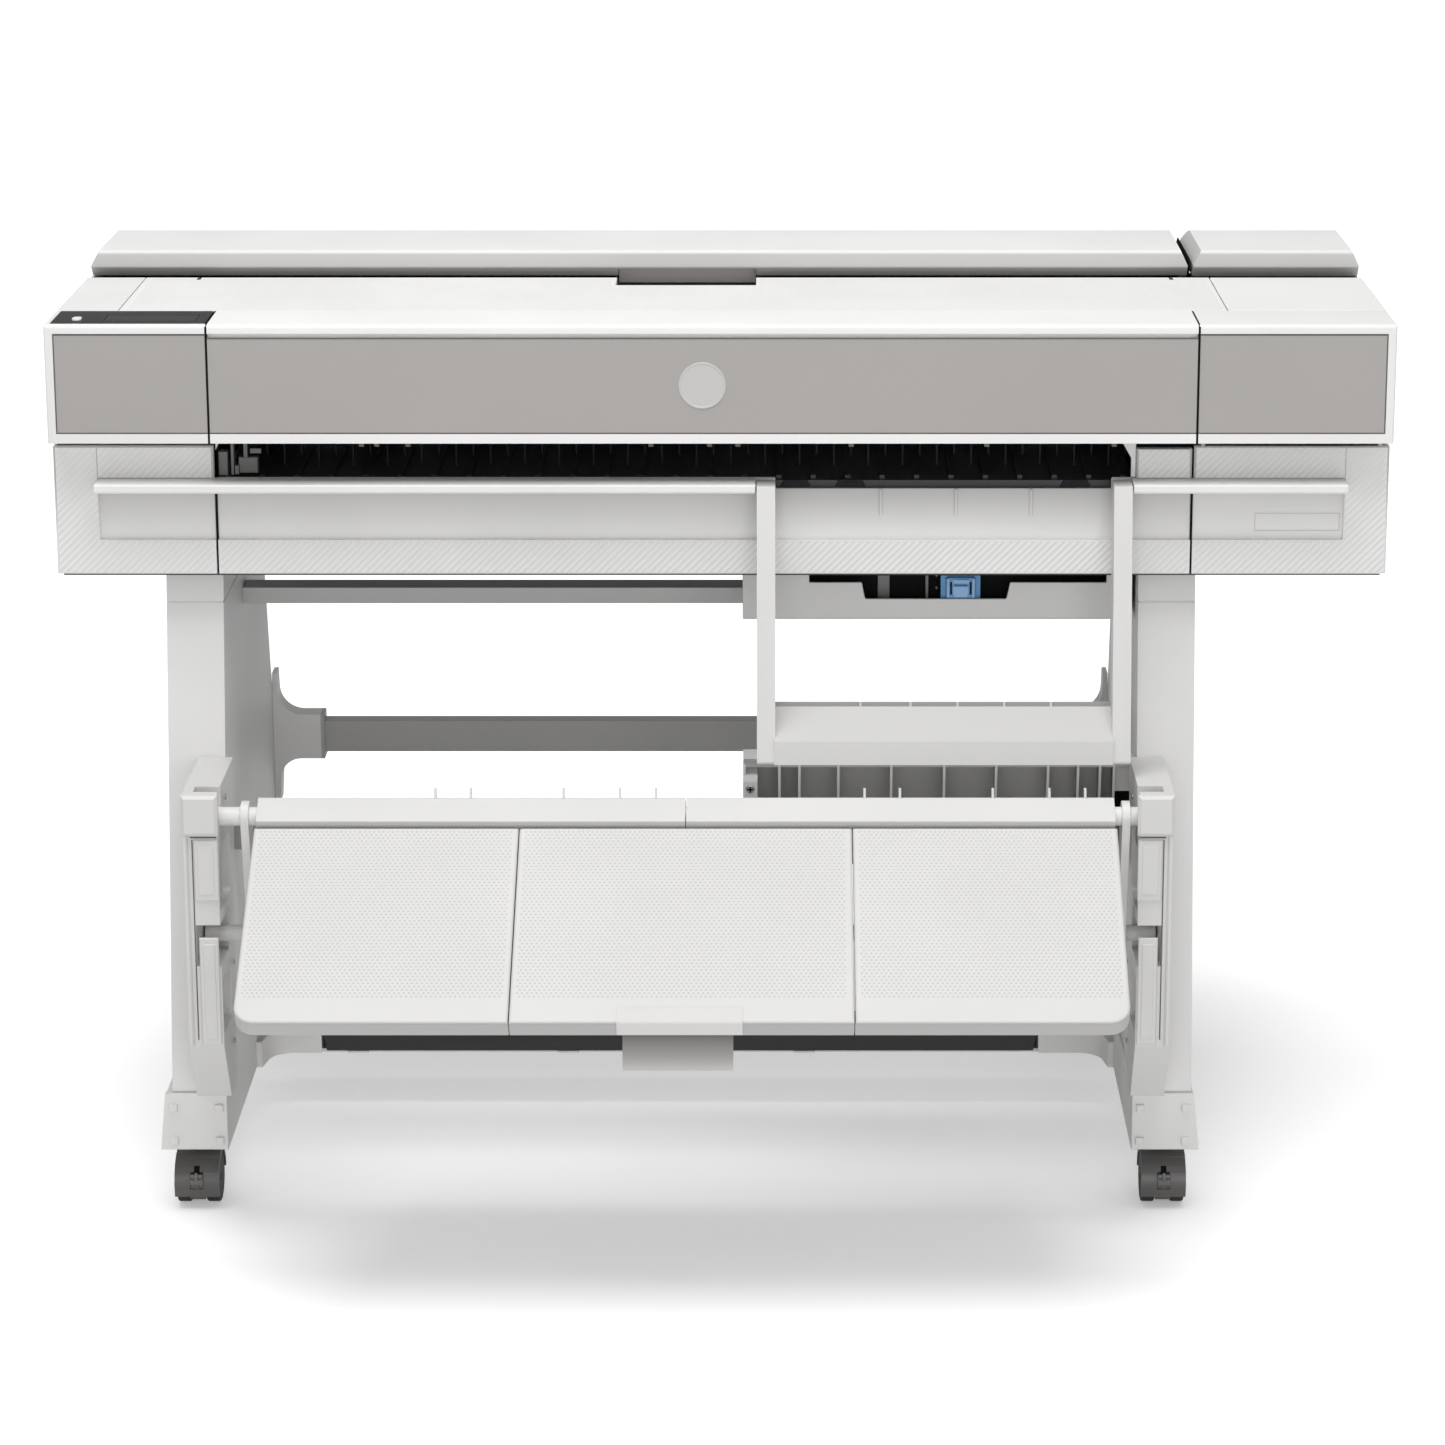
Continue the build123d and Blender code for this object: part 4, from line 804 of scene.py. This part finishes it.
def add_underside():
    """Black painted shadow inside the housing and behind the latch notch, three rivets and the
    latch's own ribs.
    """
    shadow_plates = Build()
    shadow_plates.block((88, 384), (106, 108), (594, 647), 0)
    shadow_plates.block((131, 297), (86.9, 88), (598.5, 604.4), 0)
    shadow_plates.block((131, 297), (86.9, 88), (635.6, 641.5), 0)
    shadow_plates.block((24, 407), (89, 191), (645.5, 647.6), 0)
    shadow_plates.piece("housing_painted_shadow", "printer", "inner_black", "seam")
    plate = Build()
    plate.block((156, 168), (104, 106), (606, 634), 0.5)
    plate.block((204, 207), (100, 106), (606, 634), 0.5)
    plate.piece("housing_inner_ribs", "printer", "chassis_steel", "mechanism")
    rivets = Build()
    for z in (638, 631, 618):
        rivets.lathe(spot(215.5, 106, z), (0, -1, 0), RIVET, 16)
    rivets.piece("housing_rivets", "printer", "bright_steel", "screw", smooth=True)
    ribs = Build()
    for x in (225, 250.4):
        ribs.block((x, x + 2.6), (84.9, 86.2), (613.2, 632.8), 0.3)
    ribs.block((230.5, 247.5), (84.6, 86.2), (627.5, 632), 0.5)
    ribs.front([(233, 613.5), (245, 613.5), (247, 618), (247, 625), (231, 625), (231, 618)],
               (84.8, 86.2), 0.5)
    # Raised ribs in a lighter blue, a painted highlight.
    ribs.piece("latch_ribs", "blue_latch", "latch_blue", "latch_painted_highlight")
    # The latch's two slots as black painted shadow.
    slots = Build()
    for x in (228.3, 248):
        slots.block((x, x + 1.9), (85.7, 86.3), (616, 629), 0)
    slots.piece("latch_slots", "blue_latch", "panel_black", "seam")


GUIDE_RIBS = (22, 57, 77, 116, 169, 222, 274, 326, 356, 378, 392, 412)
GUIDE_SCREW = [(-0.2, 4.6), (0.6, 4.4), (0.9, 3.4)]


def add_back_guide_details():
    """Pale rib edges, end blocks, a dark socket and a screw on the back guide."""
    ribs = Build()
    for x in GUIDE_RIBS:
        ribs.side([(29.4, 455.3), (51.4, 340), (53, 340), (31.2, 455.3)], (x - 1.25, x + 1.25))
    ribs.piece("guide_rib_edges", "printer", "stand_grey", "guide_rib")
    block = Build()
    block.side([(60, 462), (28, 441), (26, 438), (26, 356), (60, 345)], (20.5, 35))
    block.side([(60, 458), (40, 452), (38, 449), (38, 425), (60, 425)], (393, 414))
    block.piece("guide_ends", "printer", "stand_grey", "guide_rib")
    dark = Build()
    dark.block((394, 412), (50, 56), (392, 423), 0.6)
    dark.piece("guide_dark_socket", "printer", "inner_black", "seam")
    screw = Build()
    screw.lathe(spot(27.8, 26, 430), (0, -1, 0), GUIDE_SCREW, 24)
    screw.piece("guide_screw", "printer", "bright_steel", "screw")
    # The screw's cross recess as black painted shadow.
    cross = Build()
    cross.block((24.6, 31), (24.9, 25.3), (429.3, 430.7), 0)
    cross.block((27.1, 28.5), (24.85, 25.3), (426.8, 433.2), 0)
    cross.piece("guide_screw_cross", "printer", "panel_black", "seam")


TRAY_REAR = (-93.0, 431.0)           # (Y, Z) of the tray's rear edge, as for spot
TRAY_SLOPE = math.radians(31.9)
TRAY_ACROSS = ("left", "middle", "right")
TRAY_FRONT = 244.0                   # down the slope to the front edge
TRAY_CORNER = 20.0
LIP_RISE = (-2.4, -19.0)             # from and to, off the tray's face
LIP_SHIFT = Vector((0, 1.6 * MM, 0.6 * MM))


def tray_spot(x, along, rise):
    """A point on the tray from millimetres: across, down from the rear edge, off the face."""
    c, s = math.cos(TRAY_SLOPE), math.sin(TRAY_SLOPE)
    return spot(x, TRAY_REAR[0] - along * c - rise * s, TRAY_REAR[1] - along * s + rise * c)


def add_tray_dots():
    """Dot relief on the three tray panels."""
    c, s = math.cos(TRAY_SLOPE), math.sin(TRAY_SLOPE)
    lo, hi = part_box("tray_panels")
    edges = (lo.x / MM, -196, 128, hi.x / MM)
    axes = (Vector((1, 0, 0)), Vector((0, -c, -s)), Vector((0, -s, c)))
    for n, name in enumerate(TRAY_ACROSS):
        x0, x1 = edges[n] + 7, edges[n + 1] - 7
        # The dots are painted darker, as their shade.
        dome_grid(f"tray_dots_{name}", "tray", "deck_white", "tray_dot_painted_shade", tray_spot(x0, 10, 0),
                  axes, ((x1 - x0) * MM, 205 * MM), TRAY_DOT_PITCH)


def add_tray_lip():
    """Clear clip over the tray's front edge, and small black hinge brackets under it."""
    section = [(226, 0.1), (227, 1.3), (244, 1.3), (245.3, 0.5), (245.3, -17), (243.95, -17),
               (243.95, 0.1)]
    lip = Build()
    lip.loft(*[[tray_spot(x, along, rise) for along, rise in section] for x in (-95, 23)])
    lip.piece("tray_lip", "tray", "flap_grey", "clear")
    hinges = Build()
    for x in (-116, 24):
        centre = tray_spot(x + 8, 236, -24)
        hinges.lathe(centre, (1, 0, 0), [(-8, 4.5), (8, 4.5)], 20)
        corners = list(zip(tray_spot(x, 240, -23), tray_spot(x + 16, 232, -17)))
        hinges.box([min(pair) for pair in corners], [max(pair) for pair in corners])
    hinges.piece("flap_brackets", "tray", "inner_black", "comb")


FLAP_X = (-90.0, 14.0)
FLAP_FRONT = [(-281.0, 288.5), (-281.4, 282.0), (-282.8, 275.0), (-285.0, 267.5),
              (-287.8, 260.0), (-290.4, 254.0), (-291.4, 251.0)]
FLAP_BARREL = 3.9


def add_flap():
    """Curved flap, standing for the flat one."""
    x0, x1 = FLAP_X
    back = [(y + 2.2, z + 0.4) for y, z in FLAP_FRONT]
    build = Build()
    build.side(FLAP_FRONT + back[::-1], FLAP_X)
    build.lathe(spot(x0, -282.8, 285.8), (1, 0, 0), [(0, FLAP_BARREL), (x1 - x0, FLAP_BARREL)], 20)
    # The flap's finish paints the shadow under the tray's edge.
    flap = build.piece("curved_flap", "tray_flap", "flap_grey", "flap", smooth=True)
    flap.data.set_sharp_from_angle(angle=math.radians(35))
    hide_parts("tray_flap")


def add_tray_lips():
    """Deeper front edge under each tray panel, turning round the outer corners."""
    lo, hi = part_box("tray_panels")
    edges = (lo.x / MM, -195.6, 127.6, hi.x / MM)
    turn = [math.radians(a) for a in range(0, 91, 15)]
    arc = [(TRAY_CORNER * math.cos(a), TRAY_CORNER * math.sin(a)) for a in turn]
    start = TRAY_FRONT - TRAY_CORNER
    for n, name in enumerate(TRAY_ACROSS):
        x0, x1 = edges[n] + 0.5, edges[n + 1] - 0.5
        path = [(x0, TRAY_FRONT), (x1, TRAY_FRONT)]
        if n == 0:
            path[:1] = [(x0 + TRAY_CORNER - 0.5 - c, start + s) for c, s in arc]
        if n == 2:
            path[1:] = [(x1 - TRAY_CORNER + 0.5 + s, start + c) for c, s in arc]
        wall = [tray_spot(x, along, rise) for x, along in path for rise in LIP_RISE]
        faces = []
        for a in range(0, len(wall) - 2, 2):
            b = len(wall) + a
            faces += [(a, a + 1, a + 3, a + 2), (b + 2, b + 3, b + 1, b),
                      (a + 1, b + 1, b + 3, a + 3)]
        build = Build()
        build.add(wall + [v + LIP_SHIFT for v in wall], faces)
        # The strip's forward face takes the tray finish's painted shade.
        build.piece(f"tray_lip_{name}", "tray", "deck_white", "tray")


CONSOLE_SCREW = [(-0.5, 3), (0.6, 2.6), (1.0, 1.4)]


def add_console_details():
    """Rounded head, outer frame bar, raised panels and the painted shadow in their grooves on each
    console.
    """
    for side in ("left", "right"):
        lo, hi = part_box(side + "_console")
        start, sign = (lo.x / MM, 1) if side == "left" else (hi.x / MM, -1)

        def span(a, b):
            return tuple(sorted((start + sign * a, start + sign * b)))

        pale = Build()
        pale.block(span(0.5, 36), (-108, -99), (423, 463.5), 3)
        pale.block(span(0.4, 5.5), (-105.5, -101), (206, 424), 1.5)
        pale.block(span(11.5, 35), (-104, -101.5), (356, 418), 1)
        pale.block(span(14.5, 31), (-104.8, -103), (362, 412), 0.8)
        pale.block(span(14, 33), (-105, -101.5), (208, 318), 1)
        pale.block(span(17.5, 29.5), (-105.8, -104), (214, 312), 0.8)
        pale.piece(side + "_console_panels", "printer", "stand_plastic")
        dark = Build()
        dark.block(span(9.4, 10.6), (-102.3, -101.8), (212, 418), 0)
        dark.block(span(8, 34), (-102.3, -101.8), (419.4, 421), 0)
        dark.piece(side + "_console_grooves", "printer", "panel_black", "groove")
        screw = Build()
        for y, z in ((-52, 446), (-30, 268), (-44, 190)):
            screw.lathe(spot(start + sign * 37.2, y, z), (sign, 0, 0), CONSOLE_SCREW, 16)
        screw.piece(side + "_console_screws", "printer", "bright_steel", "screw")


AXLE_Y, AXLE_Z = 5.0, 25.0


def add_caster_levers():
    """T-shaped lever and the painted shadow of its slot on the front of each front caster."""
    arc = [math.radians(a) for a in (18, 24, 30, 36, 42)]
    outer, inner = ([(AXLE_Y - radius * math.cos(a), AXLE_Z + radius * math.sin(a)) for a in arc]
                    for radius in (30.3, 28.5))
    for side, x in (("left", -533), ("right", 446)):
        slot = Build()
        slot.side(outer[::-1] + inner, (x - 2.8, x + 2.8))
        slot.piece(f"{side}_caster_slot", f"front_{side}_caster", "panel_black", "seam")
        lever = Build()
        lever.block((x - 6.7, x + 6.7), (AXLE_Y - 32.2, AXLE_Y - 29.6), (28, 33), 0.6)
        lever.side([(-27.4, 33), (-26.2, 41), (-24.6, 40.4), (-24.6, 33)][::-1], (x - 1.2, x + 1.2))
        lever.piece(f"{side}_caster_lever", f"front_{side}_brake", "caster_black")


def add_roll_cover_filling():
    """Dark fins that close the view through the gap between the two roll covers, painted shadow in
    it.
    """
    start, end = high("roll_cover").x / MM, low("roll_end_cover").x / MM
    fin = Build()
    middle = (start + end) / 2
    profile = [(296, 886), (430, 886), (446, 900), (440, 915), (428, 922), (296, 922)]
    fin.side(profile, (middle - 0.4, middle + 0.4))
    fin.piece("roll_gap_fin", "printer", "inner_black", "seam")


def add_deflector_flange():
    """Grey flange with pale stops along the rear edge of the deflector's shelf."""
    body = BODY_OF["deflector_frame"]
    lo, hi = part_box("deflector_frame")
    inner = (lo.x / MM + 26, hi.x / MM - 26)
    flange = Build()
    flange.block(inner, (-7.4, -5.4), (524.6, 530.4), 0.4)
    flange.piece("deflector_flange", body, "stand_plastic", "guide")
    stops = Build()
    for x in (137, 186.5, 233, 279, 325):
        stops.block((x - 1.1, x + 1.1), (-8.4, -7.2), (525.4, 530.8), 0.3)
    stops.piece("deflector_stops", body, "stand_plastic")


STAND_SCREW = [(-0.5, 4.2), (0.9, 3.9), (1.5, 2.4)]
STAND_SCREW_SPOTS = ((415, 356), (415, 386), (310, 618), (190, 618), (120, 400), (200, 130),
                     (330, 130))
REAR_SCREW = [(-0.2, 4), (1.2, 3.6), (1.8, 2.2)]


def add_stand_screws():
    """Screw heads on the outer faces of the legs, level with the beam, brace and rail."""
    build = Build()
    for node, sign in (("left_leg", -1), ("right_leg", 1)):
        face = (low(node) if sign < 0 else high(node)).x / MM
        for y, z in STAND_SCREW_SPOTS:
            build.lathe(spot(face - sign * 0.1, y, z), (sign, 0, 0), STAND_SCREW, 20)
    build.piece("stand_screws", "printer", "bright_steel", "screw")


def add_rear_screws():
    """Screw heads round the rear cover."""
    y = high("rear_cover").y
    build = Build()
    for x in (-0.63, -0.33, 0.0, 0.33, 0.63):
        for z in (0.664, 0.868):
            build.lathe((x, y, z), (0, 1, 0), REAR_SCREW, 20)
    build.piece("rear_screws", "printer", "bright_steel", "screw")


add_camera()
add_studio()
add_floor()
finish_cad_nodes()
for node_name, edge_width in SOFT_EDGES.items():
    shell = softened(node_name, edge_width)
    if node_name in OWN_FINISH:
        shell.data.materials[0] = FINISHES[OWN_FINISH[node_name]]
add_lower_ribs()
add_deck_dots()
add_badge()
add_name_plate()
add_seams()
add_insert_edges()
add_roll_gap()
add_slot_interior()
add_underside()
add_back_guide_details()
add_tray_dots()
add_tray_lip()
add_tray_lips()
add_console_details()
add_flap()
add_caster_levers()
add_rear_screws()
add_roll_cover_filling()
add_stand_screws()
add_deflector_flange()
